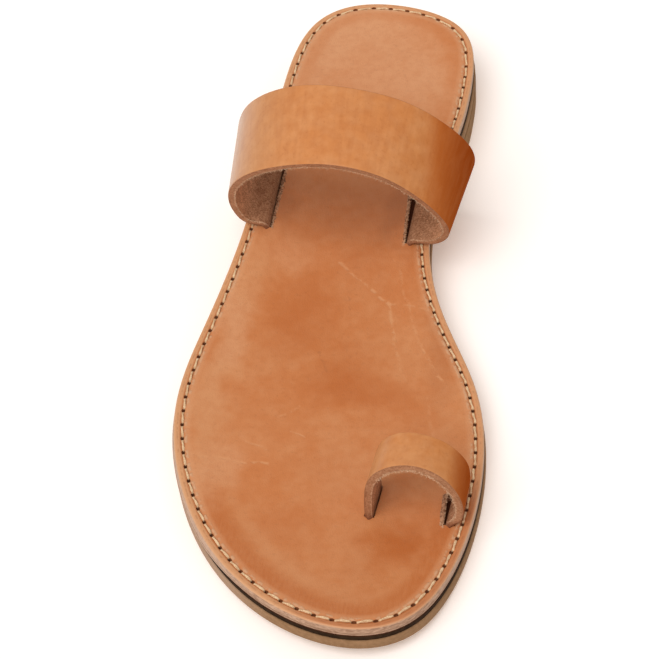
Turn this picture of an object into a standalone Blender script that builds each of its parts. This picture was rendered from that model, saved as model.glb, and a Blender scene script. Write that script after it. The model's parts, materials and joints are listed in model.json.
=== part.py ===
"""Greek toe-loop sandal for the right foot: a stacked flat sole with two leather bands.

The toe points along -Y, the big-toe side is +X and the floor is z = 0.
Sizes are in millimetres and become metres where vertices are placed.
"""

import math
from collections import namedtuple

import bmesh
import bpy
import numpy as np

OBJECT_NAME = "greek_sandal"
MM = 0.001

# Main sizes of the sole
LENGTH = 244.0
OUTSOLE_THICKNESS = 3.2
MIDSOLE_THICKNESS = 1.1
INSOLE_THICKNESS = 3.4
GLUE_GAP = 0.3
INSOLE_FLARE = 0.3
MIDSOLE_FLARE = 0.3
OUTSOLE_FLARE = 0.75
HEEL_FLARE = 0.9
HEEL_LIFT = 7.4
HEEL_BREAST_ALONG = 60.0
ARCH_FRONT_ALONG = -25.0
TOE_ROLL_ALONG = -78.0
TOE_SPRING = 4.0
DISH_DEPTH = 0.8
DISH_BORDER = 4.0
DISH_RUN = 14.0
EDGE_ROUND = 0.4

# Bands
STRAP_THICKNESS = 2.0
STRAP_LEAN = -0.33
LOOP_THICKNESS = 2.2
LOOP_LEAN = -0.03
BAND_ROUND = 0.3
STEP_RISE = 2.0
SLOT_GRAIN_PLAY = 0.3
SLOT_END_PLAY = 0.4

# Mesh fineness
SOLE_STATIONS = 54
INSOLE_LANES = 10
SOLE_LANES = 4
HEEL_STATIONS = 18
STRAP_LANES = 5
LOOP_LANES = 3
STEPS_PER_FOLD = 3
TIP_ANGLE = 0.055
TANGENT_STEP = 0.001
CREASE_DEG = 40.0
ROUNDED_FROM_DEG = 50.0

HALF_LENGTH = LENGTH / 2
MIDSOLE_BASE = OUTSOLE_THICKNESS + GLUE_GAP
INSOLE_BASE = MIDSOLE_BASE + MIDSOLE_THICKNESS + GLUE_GAP
FOOTBED = INSOLE_BASE + INSOLE_THICKNESS
CUTTER_HEIGHT = 3.0 * INSOLE_THICKNESS

EdgePoint = namedtuple("EdgePoint", "name along across")

# Plan outline of the footbed, one row for each place where the curve changes
LATERAL_EDGE = (
    EdgePoint("heel_back", 122.0, -3.5),
    EdgePoint("heel_curve", 112.8, -22.7),
    EdgePoint("heel_side", 88.0, -29.3),
    EdgePoint("waist_back", 50.0, -31.0),
    EdgePoint("waist", 13.0, -34.3),
    EdgePoint("forefoot", -15.0, -39.2),
    EdgePoint("ball", -44.0, -42.8),
    EdgePoint("little_toe", -74.5, -37.2),
    EdgePoint("outer_toes", -102.1, -21.4),
    EdgePoint("toe_tip", -122.0, 14.0),
)
MEDIAL_EDGE = (
    EdgePoint("big_toe_curve", -114.3, 30.3),
    EdgePoint("big_toe", -104.1, 35.9),
    EdgePoint("toe_joint", -84.4, 41.1),
    EdgePoint("ball", -65.0, 42.8),
    EdgePoint("ball_back", -33.8, 37.9),
    EdgePoint("waist_front", -8.2, 27.0),
    EdgePoint("waist", 12.4, 21.6),
    EdgePoint("waist_back", 36.0, 21.8),
    EdgePoint("heel_front", 67.3, 26.8),
    EdgePoint("heel_side", 84.0, 28.1),
    EdgePoint("heel_curve", 113.0, 21.3),
)

Fold = namedtuple("Fold", "name front_across front_rise rear_across rear_rise")

# Outer face of the instep strap, fold by fold; rise is measured from the footbed at the slot
STRAP_FOLDS = (
    Fold("lateral_end", -28.2, -2.9, -27.2, -2.9),
    Fold("lateral_lip", -28.2, -0.2, -27.2, -0.2),
    Fold("lateral_turn", -28.7, 0.4, -27.7, 0.4),
    Fold("lateral_seat", -30.3, 0.6, -29.5, 0.6),
    Fold("lateral_roll", -33.2, 1.8, -32.7, 1.8),
    Fold("lateral_low", -35.5, 6.0, -35.7, 5.8),
    Fold("lateral_bulge", -36.6, 13.0, -37.2, 12.8),
    Fold("lateral_side", -35.5, 20.2, -36.3, 20.5),
    Fold("lateral_shoulder", -30.6, 28.4, -32.4, 31.1),
    Fold("lateral_crown", -18.0, 37.0, -19.2, 43.2),
    Fold("crown", -2.4, 40.6, -2.8, 46.5),
    Fold("medial_crown", 9.7, 37.5, 12.0, 43.4),
    Fold("medial_shoulder", 20.9, 26.8, 25.0, 33.5),
    Fold("medial_side", 26.4, 17.1, 32.0, 23.1),
    Fold("medial_bulge", 27.9, 9.9, 33.6, 14.4),
    Fold("medial_low", 26.0, 4.6, 31.4, 7.0),
    Fold("medial_roll", 22.2, 1.5, 26.0, 2.6),
    Fold("medial_seat", 18.9, 0.6, 20.9, 0.7),
    Fold("medial_turn", 17.3, 0.4, 19.3, 0.4),
    Fold("medial_lip", 16.8, -0.2, 18.8, -0.2),
    Fold("medial_end", 16.8, -2.9, 18.8, -2.9),
)

# Outer face of the toe loop
LOOP_FOLDS = (
    Fold("lateral_end", 13.4, -2.8, 14.6, -2.8),
    Fold("lateral_foot", 13.4, 1.5, 14.6, 1.5),
    Fold("lateral_leg", 13.7, 9.7, 15.2, 10.0),
    Fold("lateral_shoulder", 15.4, 17.0, 16.9, 17.5),
    Fold("lateral_crown", 20.1, 22.0, 20.9, 22.2),
    Fold("crown", 26.2, 23.8, 26.4, 23.6),
    Fold("medial_crown", 31.9, 22.1, 32.4, 22.1),
    Fold("medial_shoulder", 36.4, 17.5, 37.2, 18.2),
    Fold("medial_side", 39.1, 11.6, 40.2, 12.6),
    Fold("medial_bulge", 39.7, 6.8, 40.6, 7.4),
    Fold("medial_low", 39.2, 3.4, 40.2, 3.6),
    Fold("medial_roll", 38.2, 1.4, 39.3, 1.5),
    Fold("medial_turn", 37.3, 0.5, 38.5, 0.5),
    Fold("medial_lip", 37.0, -0.3, 38.2, -0.3),
    Fold("medial_end", 37.0, -2.8, 38.2, -2.8),
)

Slot = namedtuple("Slot", "name front_across front_along rear_across rear_along "
                          "flesh_side flesh_play step")

# Where each band goes down through the insole, along the middle of its thickness.
# flesh_side is +1 where the inner face of the band looks towards +X, flesh_play is the open
# gap on that side, and step is how far the band moves towards the toe as it leaves the slot.
STRAP_SLOTS = (
    Slot("lateral", -27.2, 19.5, -26.2, 44.5, +1, 0.8, 0.3),
    Slot("medial", 15.8, 15.7, 17.8, 40.6, -1, 0.9, 0.5),
)
LOOP_SLOTS = (
    Slot("lateral", 14.5, -83.3, 15.7, -71.7, +1, 0.3, 0.0),
    Slot("medial", 35.9, -85.0, 37.1, -73.7, -1, 0.9, 0.0),
)

Finish = namedtuple("Finish", "colour roughness metallic")

FINISHES = {
    "outsole": Finish((0.40, 0.25, 0.13), 0.75, 0.0),
    "heel": Finish((0.37, 0.23, 0.12), 0.75, 0.0),
    "midsole": Finish((0.045, 0.022, 0.016), 0.70, 0.0),
    "insole": Finish((0.58, 0.23, 0.085), 0.50, 0.0),
    "instep_strap": Finish((0.56, 0.22, 0.07), 0.38, 0.0),
    "toe_loop": Finish((0.57, 0.23, 0.075), 0.40, 0.0),
}


def smoothstep(value):
    """Ease from 0 to 1, flat at both ends."""
    value = min(max(value, 0.0), 1.0)
    return value * value * (3.0 - 2.0 * value)


def cubic_spline(knots, values, period=None):
    """Return a function through the values: natural at its ends, or closed over a period."""
    knots = np.asarray(knots, dtype=float)
    values = np.asarray(values, dtype=float)
    if period is not None:
        knots = np.append(knots, knots[0] + period)
        values = np.append(values, values[0])
    steps = np.diff(knots)
    slopes = np.diff(values) / steps
    count = len(knots)
    system = np.zeros((count, count))
    right = np.zeros(count)
    for i in range(1, count - 1):
        system[i, i - 1:i + 2] = steps[i - 1], 2.0 * (steps[i - 1] + steps[i]), steps[i]
        right[i] = 6.0 * (slopes[i] - slopes[i - 1])
    if period is None:
        system[0, 0] = system[-1, -1] = 1.0
    else:
        system[0, 0] = 2.0 * (steps[0] + steps[-1])
        system[0, 1] = steps[0]
        system[0, -2] = steps[-1]
        right[0] = 6.0 * (slopes[0] - slopes[-1])
        system[-1, 0] = 1.0
        system[-1, -1] = -1.0
    bends = np.linalg.solve(system, right)

    def evaluate(place):
        if period is not None:
            place = knots[0] + (place - knots[0]) % period
        i = int(np.clip(np.searchsorted(knots, place) - 1, 0, count - 2))
        before = place - knots[i]
        after = knots[i + 1] - place
        step = steps[i]
        return ((bends[i] * after ** 3 + bends[i + 1] * before ** 3) / (6.0 * step)
                + (values[i] / step - bends[i] * step / 6.0) * after
                + (values[i + 1] / step - bends[i + 1] * step / 6.0) * before)

    return evaluate


def outline_curve():
    """Closed plan outline: across as a smooth function of the angle round the sole.

    Angle 0 is the back of the heel, pi is the toe tip, and along is cos(angle) times half
    the length, so the curve closes smoothly at both tips.
    """
    angles = [math.acos(point.along / HALF_LENGTH) for point in LATERAL_EDGE]
    angles += [2.0 * math.pi - math.acos(point.along / HALF_LENGTH) for point in MEDIAL_EDGE]
    across = [point.across for point in LATERAL_EDGE + MEDIAL_EDGE]
    return cubic_spline(angles, across, period=2.0 * math.pi)


OUTLINE = outline_curve()


def rim_point(angle, flare):
    """Point of the outline at an angle, moved outwards square to the edge."""
    change = OUTLINE(angle + TANGENT_STEP) - OUTLINE(angle - TANGENT_STEP)
    tangent_across = change / (2.0 * TANGENT_STEP)
    tangent_along = -HALF_LENGTH * math.sin(angle)
    size = math.hypot(tangent_across, tangent_along)
    across = OUTLINE(angle) + flare * tangent_along / size
    along = HALF_LENGTH * math.cos(angle) - flare * tangent_across / size
    return across, along


def underside(along):
    """Height of the outsole's lower face: toe spring, flat forefoot, arch and heel seat."""
    toe = max(TOE_ROLL_ALONG - along, 0.0) / (TOE_ROLL_ALONG + HALF_LENGTH)
    arch = (along - ARCH_FRONT_ALONG) / (HEEL_BREAST_ALONG - ARCH_FRONT_ALONG)
    return TOE_SPRING * toe ** 2 + HEEL_LIFT * smoothstep(arch)


def half_angle(along):
    """Angle round the outline that belongs to a place along the sole."""
    return math.acos(min(max(along / HALF_LENGTH, -1.0), 1.0))


def footbed_top(across, along):
    """Height of the insole's upper face, dished away from its rim."""
    angle = half_angle(along)
    to_side = min(across - OUTLINE(angle), OUTLINE(2.0 * math.pi - angle) - across)
    to_rim = min(to_side, HALF_LENGTH - abs(along))
    return underside(along) + FOOTBED - DISH_DEPTH * smoothstep((to_rim - DISH_BORDER) / DISH_RUN)


def sole_place(lane, station, flare, front_angle=math.pi - TIP_ANGLE):
    """Plan point of a sole layer: lane runs -1..1 across, station -1..1 from toe to heel."""
    angle = front_angle + (TIP_ANGLE - front_angle) * 0.5 * (station + 1.0)
    lateral = rim_point(angle, flare)
    medial = rim_point(2.0 * math.pi - angle, flare)
    share = 0.5 * (1.0 + math.sin(0.5 * math.pi * lane))
    across = lateral[0] + (medial[0] - lateral[0]) * share
    along = lateral[1] + (medial[1] - lateral[1]) * share
    return across, along


def new_material(name):
    finish = FINISHES[name]
    material = bpy.data.materials.new(name)
    material.use_nodes = True
    shader = material.node_tree.nodes["Principled BSDF"]
    shader.inputs["Base Color"].default_value = (*finish.colour, 1.0)
    shader.inputs["Roughness"].default_value = finish.roughness
    shader.inputs["Metallic"].default_value = finish.metallic
    return material


def new_part(name, mesh_builder, collection):
    """Make one named sub-part from an edit mesh and give it its own material."""
    mesh = bpy.data.meshes.new(name)
    mesh_builder.to_mesh(mesh)
    mesh_builder.free()
    mesh.shade_smooth()
    mesh.set_sharp_from_angle(angle=math.radians(CREASE_DEG))
    mesh.materials.append(new_material(name))
    part = bpy.data.objects.new(name, mesh)
    collection.objects.link(part)
    return part


def round_edges(part, width):
    bevel = part.modifiers.new("rounded_edges", "BEVEL")
    bevel.width = width * MM
    bevel.segments = 1
    bevel.limit_method = "ANGLE"
    bevel.angle_limit = math.radians(ROUNDED_FROM_DEG)


def sole_layer(name, collection, stations, lanes, upper, lower):
    """Closed layer between an upper and a lower face, each given as place(lane, station)."""
    builder = bmesh.new()
    sheet = bmesh.ops.create_grid(builder, x_segments=lanes, y_segments=stations, size=1.0)
    grown = bmesh.ops.extrude_face_region(builder, geom=builder.faces[:], use_keep_orig=True)
    upper_points = [item for item in grown["geom"] if isinstance(item, bmesh.types.BMVert)]
    for points, place in ((sheet["verts"], lower), (upper_points, upper)):
        for point in points:
            across, along, height = place(point.co.x, point.co.y)
            point.co = (across * MM, along * MM, height * MM)
    bmesh.ops.recalc_face_normals(builder, faces=builder.faces[:])
    return new_part(name, builder, collection)


def level(flare, base):
    """Face that follows the sole's profile at a height above the outsole's lower face."""
    def place(lane, station):
        across, along = sole_place(lane, station, flare)
        return across, along, underside(along) + base
    return place


def make_outsole(collection):
    part = sole_layer("outsole", collection, SOLE_STATIONS, SOLE_LANES,
                      level(OUTSOLE_FLARE, OUTSOLE_THICKNESS), level(OUTSOLE_FLARE, 0.0))
    round_edges(part, EDGE_ROUND)
    return part


def make_midsole(collection):
    return sole_layer("midsole", collection, SOLE_STATIONS, SOLE_LANES,
                      level(MIDSOLE_FLARE, MIDSOLE_BASE + MIDSOLE_THICKNESS),
                      level(MIDSOLE_FLARE, MIDSOLE_BASE))


def make_heel(collection):
    """Low block under the heel seat."""
    breast_angle = half_angle(HEEL_BREAST_ALONG)

    def flat(height):
        def place(lane, station):
            across, along = sole_place(lane, station, HEEL_FLARE, breast_angle)
            return across, along, height
        return place

    part = sole_layer("heel", collection, HEEL_STATIONS, SOLE_LANES,
                      flat(HEEL_LIFT - GLUE_GAP), flat(0.0))
    round_edges(part, EDGE_ROUND)
    return part


def slot_cutter(name, slot, thickness, collection):
    """Box that cuts one band slot, a little wider on the flesh side of the band."""
    run_across = slot.rear_across - slot.front_across
    run_along = slot.rear_along - slot.front_along
    run = math.hypot(run_across, run_along)
    width = thickness + SLOT_GRAIN_PLAY + slot.flesh_play
    shift = slot.flesh_side * 0.5 * (slot.flesh_play - SLOT_GRAIN_PLAY)
    middle_along = 0.5 * (slot.front_along + slot.rear_along)
    height = underside(middle_along) + FOOTBED
    bpy.ops.mesh.primitive_cube_add(size=1.0)
    cutter = bpy.context.object
    cutter.name = name
    cutter.scale = (width * MM, (run + 2.0 * SLOT_END_PLAY) * MM, CUTTER_HEIGHT * MM)
    bpy.ops.object.transform_apply(location=False, rotation=False, scale=True)
    cutter.rotation_euler.z = -math.atan2(run_across, run_along)
    cutter.location = ((0.5 * (slot.front_across + slot.rear_across) + shift) * MM,
                       middle_along * MM, height * MM)
    cutter.hide_render = True
    cutter.display_type = "WIRE"
    for home in cutter.users_collection:
        home.objects.unlink(cutter)
    collection.objects.link(cutter)
    return cutter


def make_insole(collection, cutters):
    """Dished leather footbed with a slot for each end of the two bands."""
    def upper(lane, station):
        across, along = sole_place(lane, station, INSOLE_FLARE)
        return across, along, footbed_top(across, along)

    part = sole_layer("insole", collection, SOLE_STATIONS, INSOLE_LANES,
                      upper, level(INSOLE_FLARE, INSOLE_BASE))
    round_edges(part, EDGE_ROUND)
    bands = (("strap", STRAP_SLOTS, STRAP_THICKNESS), ("loop", LOOP_SLOTS, LOOP_THICKNESS))
    for band, slots, thickness in bands:
        for slot in slots:
            name = f"{band}_{slot.name}_slot_cutter"
            cut = part.modifiers.new(name, "BOOLEAN")
            cut.operation = "DIFFERENCE"
            cut.solver = "EXACT"
            cut.object = slot_cutter(name, slot, thickness, cutters)
    return part


def band_surface(folds, slots, lean):
    """Outer face of a band: place(position, side), with position counted in folds.

    side 0 is the front edge and 1 the rear edge. Below the footbed the band goes straight
    down through its slot; above it the arch steps and leans towards the toe.
    """
    lateral, medial = slots
    gap = [0.0]
    for here, there in zip(folds, folds[1:]):
        gap.append(gap[-1] + math.hypot(there.front_across - here.front_across,
                                        there.front_rise - here.front_rise))
    front_across = cubic_spline(gap, [fold.front_across for fold in folds])
    front_rise = cubic_spline(gap, [fold.front_rise for fold in folds])
    rear_across = cubic_spline(gap, [fold.rear_across for fold in folds])
    rear_rise = cubic_spline(gap, [fold.rear_rise for fold in folds])

    def edge(across, rise, slot_ends):
        (across_a, along_a), (across_b, along_b) = slot_ends
        share = (across - across_a) / (across_b - across_a)
        step = (lateral.step + (medial.step - lateral.step) * share) * smoothstep(rise / STEP_RISE)
        along = along_a + (along_b - along_a) * share - step + lean * max(rise, 0.0)
        base_a = footbed_top(across_a, along_a)
        base_b = footbed_top(across_b, along_b)
        base = base_a + (base_b - base_a) * min(max(share, 0.0), 1.0)
        return np.array((across, along, base + rise))

    front_ends = ((lateral.front_across, lateral.front_along),
                  (medial.front_across, medial.front_along))
    rear_ends = ((lateral.rear_across, lateral.rear_along),
                 (medial.rear_across, medial.rear_along))

    def place(position, side):
        fold = min(int(position), len(folds) - 2)
        along_band = gap[fold] + (gap[fold + 1] - gap[fold]) * (position - fold)
        front = edge(front_across(along_band), front_rise(along_band), front_ends)
        rear = edge(rear_across(along_band), rear_rise(along_band), rear_ends)
        return front + (rear - front) * side

    return place


def make_band(name, collection, folds, slots, lean, thickness, lanes):
    """Leather band of one thickness, lofted between its front and rear edges."""
    place = band_surface(folds, slots, lean)
    intervals = len(folds) - 1
    builder = bmesh.new()
    bmesh.ops.create_grid(builder, x_segments=intervals * STEPS_PER_FOLD, y_segments=lanes, size=1.0)
    for point in builder.verts:
        position = 0.5 * (point.co.x + 1.0) * intervals
        point.co = place(position, 0.5 * (point.co.y + 1.0)) * MM
    part = new_part(name, builder, collection)
    wall = part.modifiers.new("leather", "SOLIDIFY")
    wall.thickness = thickness * MM
    wall.offset = -1.0
    wall.use_even_offset = True
    round_edges(part, BAND_ROUND)
    return part


def clear_scene():
    for item in list(bpy.data.objects):
        bpy.data.objects.remove(item, do_unlink=True)


def new_collection(name):
    collection = bpy.data.collections.new(name)
    bpy.context.scene.collection.children.link(collection)
    return collection


def main():
    clear_scene()
    sandal = new_collection(OBJECT_NAME)
    cutters = new_collection("cutters")
    make_outsole(sandal)
    make_heel(sandal)
    make_midsole(sandal)
    make_insole(sandal, cutters)
    make_band("instep_strap", sandal, STRAP_FOLDS, STRAP_SLOTS,
              STRAP_LEAN, STRAP_THICKNESS, STRAP_LANES)
    make_band("toe_loop", sandal, LOOP_FOLDS, LOOP_SLOTS,
              LOOP_LEAN, LOOP_THICKNESS, LOOP_LANES)


main()
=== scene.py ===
# %% [markdown]
# # Dressing a toe-loop sandal
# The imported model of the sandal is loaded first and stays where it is: the toe points along -Y,
# the big-toe side is +X and the floor is z = 0. Every piece made below stands for one of its
# nodes, or is sewn to one, so its place always comes from the sandal's own sizes.

# %% The fixed model
import json
import math
from collections import namedtuple

import bpy
import numpy as np
from mathutils import Matrix, Vector, kdtree
from mathutils.bvhtree import BVHTree

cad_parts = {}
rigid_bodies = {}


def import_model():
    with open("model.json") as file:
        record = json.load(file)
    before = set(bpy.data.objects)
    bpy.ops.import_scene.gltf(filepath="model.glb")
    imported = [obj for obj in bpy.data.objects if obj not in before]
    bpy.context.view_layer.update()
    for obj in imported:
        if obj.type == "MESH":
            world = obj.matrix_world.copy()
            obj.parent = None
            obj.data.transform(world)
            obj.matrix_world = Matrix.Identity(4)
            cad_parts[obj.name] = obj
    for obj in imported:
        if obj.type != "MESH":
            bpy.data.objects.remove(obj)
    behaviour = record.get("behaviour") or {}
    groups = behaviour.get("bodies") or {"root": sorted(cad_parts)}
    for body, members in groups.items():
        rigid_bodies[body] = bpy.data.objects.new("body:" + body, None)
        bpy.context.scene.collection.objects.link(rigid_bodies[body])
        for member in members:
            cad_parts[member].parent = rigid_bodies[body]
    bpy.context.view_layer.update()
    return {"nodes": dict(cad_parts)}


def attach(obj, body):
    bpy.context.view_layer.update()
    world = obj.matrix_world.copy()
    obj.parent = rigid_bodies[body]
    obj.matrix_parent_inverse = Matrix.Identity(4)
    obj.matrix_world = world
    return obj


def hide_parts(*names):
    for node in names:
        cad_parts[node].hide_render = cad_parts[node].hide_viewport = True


for leftover in list(bpy.data.objects):
    bpy.data.objects.remove(leftover, do_unlink=True)
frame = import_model()
MM = 0.001
print("nodes:", ", ".join(sorted(frame["nodes"])))

# %% [markdown]
# ## Camera
# The picture is taken from above the toe, a little to the big-toe side, with a long lens. The
# camera is given by its place, the direction it looks in and the direction that is level in the
# picture. The rest follows from a cross product.

# %% Camera
PICTURE_PX = 659
FOCAL_PX = 2200.0
CAMERA_AT = Vector((73.7, -441.2, 459.4)) * MM
LOOK = Vector((-0.12454, 0.67981, -0.72273)).normalized()
LEVEL = Vector((0.99756, 0.06976, 0.0))


def deselect_all():
    """Leave edit mode and drop the selection, so the next operator meets only its own piece."""
    if bpy.context.mode != "OBJECT":
        bpy.ops.object.mode_set(mode="OBJECT")
    bpy.ops.object.select_all(action="DESELECT")


deselect_all()
bpy.ops.object.camera_add()
camera = bpy.context.object
picture_right = (LEVEL - LEVEL.dot(LOOK) * LOOK).normalized()
picture_up = picture_right.cross(LOOK)
turn = Matrix((picture_right, picture_up, -LOOK)).transposed()
camera.matrix_world = Matrix.Translation(CAMERA_AT) @ turn.to_4x4()
camera.data.lens = FOCAL_PX / PICTURE_PX * camera.data.sensor_width
bpy.context.scene.camera = camera
print("lens in mm:", round(camera.data.lens, 1))

# %% [markdown]
# ## Floor and light
# The stage is a wide pale floor under an even white sky, with one broad soft light over the
# toe. Its shade falls back under the strap and the loop. The floor is a burnt-out studio
# white: a warm glow, for the camera only, lifts it without lighting the sandal from below.
# Seen from below the floor is clear, and a faint light that fades within a few millimetres of
# it keeps the tread from being black, so the tread can be looked at too.

# %% Floor
FLOOR_SIDE = 30.0
FLOOR_DROP = 0.00002
FLOOR_WHITE = (0.97, 0.965, 0.96, 1.0)
GLOW_WARM = (1.0, 0.64, 0.45, 1.0)
FLOOR_GLOW = 0.21
CONTACT_REACH = 0.004
CONTACT_GLOW = 0.45


def add_node(tree, kind, sockets=None, **settings):
    """Add a node, set its options, then fill or link each of the given sockets."""
    node = tree.nodes.new(kind)
    for name, value in settings.items():
        setattr(node, name, value)
    for name, value in (sockets or {}).items():
        if isinstance(value, bpy.types.NodeSocket):
            tree.links.new(value, node.inputs[name])
        else:
            node.inputs[name].default_value = value
    return node


deselect_all()
bpy.ops.mesh.primitive_plane_add(size=FLOOR_SIDE, location=(0.0, 0.0, -FLOOR_DROP))
floor = bpy.context.object
floor.name = "floor"
floor_paint = bpy.data.materials.new("floor_paint")
floor_paint.use_nodes = True
tree = floor_paint.node_tree
tree.nodes.clear()
paint = add_node(tree, "ShaderNodeBsdfDiffuse", {"Color": FLOOR_WHITE})
path = add_node(tree, "ShaderNodeLightPath").outputs
for_camera = add_node(tree, "ShaderNodeMath", {0: path["Is Camera Ray"], 1: FLOOR_GLOW},
                      operation="MULTIPLY").outputs[0]
glow = add_node(tree, "ShaderNodeEmission", {"Color": GLOW_WARM, "Strength": for_camera})
fading = add_node(tree, "ShaderNodeMapRange",
                  {"Value": path["Ray Length"], "From Min": 0.0, "From Max": CONTACT_REACH,
                   "To Min": CONTACT_GLOW, "To Max": 0.0}).outputs[0]
contact = add_node(tree, "ShaderNodeEmission", {"Color": (1.0, 1.0, 1.0, 1.0), "Strength": fading})
lights = add_node(tree, "ShaderNodeAddShader", {0: glow.outputs[0], 1: contact.outputs[0]})
lit = add_node(tree, "ShaderNodeAddShader", {0: paint.outputs[0], 1: lights.outputs[0]})
clear = add_node(tree, "ShaderNodeBsdfTransparent")
below = add_node(tree, "ShaderNodeNewGeometry").outputs["Backfacing"]
both = add_node(tree, "ShaderNodeMixShader", {0: below, 1: lit.outputs[0], 2: clear.outputs[0]})
add_node(tree, "ShaderNodeOutputMaterial", {"Surface": both.outputs[0]})
floor.data.materials.append(floor_paint)
print("floor nodes:", len(tree.nodes))

# %% Light
SKY_WHITE = (1.0, 0.985, 0.965, 1.0)
SKY_STRENGTH = 0.60
KEY_WHITE = (1.0, 0.985, 0.96)
KEY_STRENGTH = 1.75
KEY_ANGLE_DEG = 48.0
KEY_FROM = Vector((-0.24, -0.50, 0.83))
sky = bpy.data.worlds.new("white_sky")
sky.use_nodes = True
sky.node_tree.nodes["Background"].inputs["Color"].default_value = SKY_WHITE
sky.node_tree.nodes["Background"].inputs["Strength"].default_value = SKY_STRENGTH
bpy.context.scene.world = sky

deselect_all()
bpy.ops.object.light_add(type="SUN", location=KEY_FROM)
key_light = bpy.context.object
key_light.rotation_euler = KEY_FROM.to_track_quat("Z", "Y").to_euler()
key_light.data.energy = KEY_STRENGTH
key_light.data.angle = math.radians(KEY_ANGLE_DEG)
key_light.data.color = KEY_WHITE
bpy.context.scene.view_settings.view_transform = "Standard"
print("key light from", [round(part, 2) for part in KEY_FROM.normalized()])

# %% [markdown]
# ## The last's outline
# A maker draws the sole round a last: a few measured points on the little-toe side and on the
# big-toe side, joined by one smooth closed curve. The curve is a cubic spline in an angle that
# runs once round the sole, 0 at the back of the heel and half a turn at the toe tip, so it
# closes smoothly at both tips. Stepping along it by length gives the seam its places.

# %% Outline
LENGTH = 244.0
HALF_LENGTH = LENGTH / 2
LATERAL_EDGE = (  # along, across
    (122.0, -3.5), (112.8, -22.7), (88.0, -29.3), (50.0, -31.0), (13.0, -34.3),
    (-15.0, -39.2), (-44.0, -42.8), (-74.5, -37.2), (-102.1, -21.4), (-122.0, 14.0),
)
MEDIAL_EDGE = (
    (-114.3, 30.3), (-104.1, 35.9), (-84.4, 41.1), (-65.0, 42.8), (-33.8, 37.9), (-8.2, 27.0),
    (12.4, 21.6), (36.0, 21.8), (67.3, 26.8), (84.0, 28.1), (113.0, 21.3),
)
INSOLE_FLARE = 0.3
OUTLINE_SAMPLES = 4000


def cubic_spline(knots, values, period=None):
    """Return a smooth function through the values, natural at its ends or closed over a period."""
    knots = np.asarray(knots, float)
    values = np.asarray(values, float)
    if period is not None:
        knots = np.append(knots, knots[0] + period)
        values = np.append(values, values[0])
    steps = np.diff(knots)
    slopes = np.diff(values) / steps
    count = len(knots)
    system = np.eye(count)
    right = np.zeros(count)
    for i in range(1, count - 1):
        system[i, i - 1:i + 2] = steps[i - 1], 2.0 * (steps[i - 1] + steps[i]), steps[i]
        right[i] = 6.0 * (slopes[i] - slopes[i - 1])
    if period is not None:
        system[0, [0, 1, -2]] = 2.0 * (steps[0] + steps[-1]), steps[0], steps[-1]
        right[0] = 6.0 * (slopes[0] - slopes[-1])
        system[-1, [0, -1]] = 1.0, -1.0
    bends = np.linalg.solve(system, right)

    def evaluate(place):
        place = np.asarray(place, float)
        if period is not None:
            place = knots[0] + (place - knots[0]) % period
        i = np.clip(np.searchsorted(knots, place) - 1, 0, count - 2)
        before, after, step = place - knots[i], knots[i + 1] - place, steps[i]
        return ((bends[i] * after ** 3 + bends[i + 1] * before ** 3) / (6.0 * step)
                + (values[i] / step - bends[i] * step / 6.0) * after
                + (values[i + 1] / step - bends[i + 1] * step / 6.0) * before)

    return evaluate


edge_angles = [math.acos(along / HALF_LENGTH) for along, across in LATERAL_EDGE]
edge_angles += [2.0 * math.pi - math.acos(along / HALF_LENGTH) for along, across in MEDIAL_EDGE]
across_at = cubic_spline(edge_angles, [across for along, across in LATERAL_EDGE + MEDIAL_EDGE],
                         2.0 * math.pi)
fine_angles = np.linspace(0.0, 2.0 * math.pi, OUTLINE_SAMPLES + 1)
fine_rim = np.column_stack([across_at(fine_angles), HALF_LENGTH * np.cos(fine_angles)])
fine_tangent = np.gradient(fine_rim, axis=0)
fine_tangent[0] = fine_tangent[-1] = fine_rim[1] - fine_rim[-2]
fine_tangent /= np.linalg.norm(fine_tangent, axis=1)[:, None]
fine_outward = np.column_stack([fine_tangent[:, 1], -fine_tangent[:, 0]])
fine_rim += INSOLE_FLARE * fine_outward
fine_length = np.append(0.0, np.cumsum(np.linalg.norm(np.diff(fine_rim, axis=0), axis=1)))
print("way round the sole in mm:", round(float(fine_length[-1]), 1))


# %% Places on the rim
def rim_at(share, flare):
    """Plan points in mm at shares 0..1 of the way round, moved outwards by flare."""
    length = np.mod(share, 1.0) * fine_length[-1]
    point = [np.interp(length, fine_length, fine_rim[:, k]) for k in (0, 1)]
    outward = [np.interp(length, fine_length, fine_outward[:, k]) for k in (0, 1)]
    return np.stack([point[k] + flare * outward[k] for k in (0, 1)], axis=-1)


rim_tree = kdtree.KDTree(OUTLINE_SAMPLES)
for index, point in enumerate(fine_rim[:-1]):
    rim_tree.insert((point[0], point[1], 0.0), index)
rim_tree.balance()


def rim_distance(points):
    """Distance in mm from each plan point to the nearest point of the outline."""
    return np.array([rim_tree.find((point[0], point[1], 0.0))[2] for point in points])


print("toe tip and heel at", rim_at(np.array((0.5, 0.0)), 0.0).round(1).tolist(), "mm")

# %% [markdown]
# ## The sole's profile
# From the side the sole is flat under the ball, lifts a little at the toe, rises through the
# arch and runs level over the heel block. All layers follow this one profile, each at its own
# height, so they nest like the real sheets that are glued together. The footbed is pressed
# down a little inside its rim, and the thread lies in a shallow channel.

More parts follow.
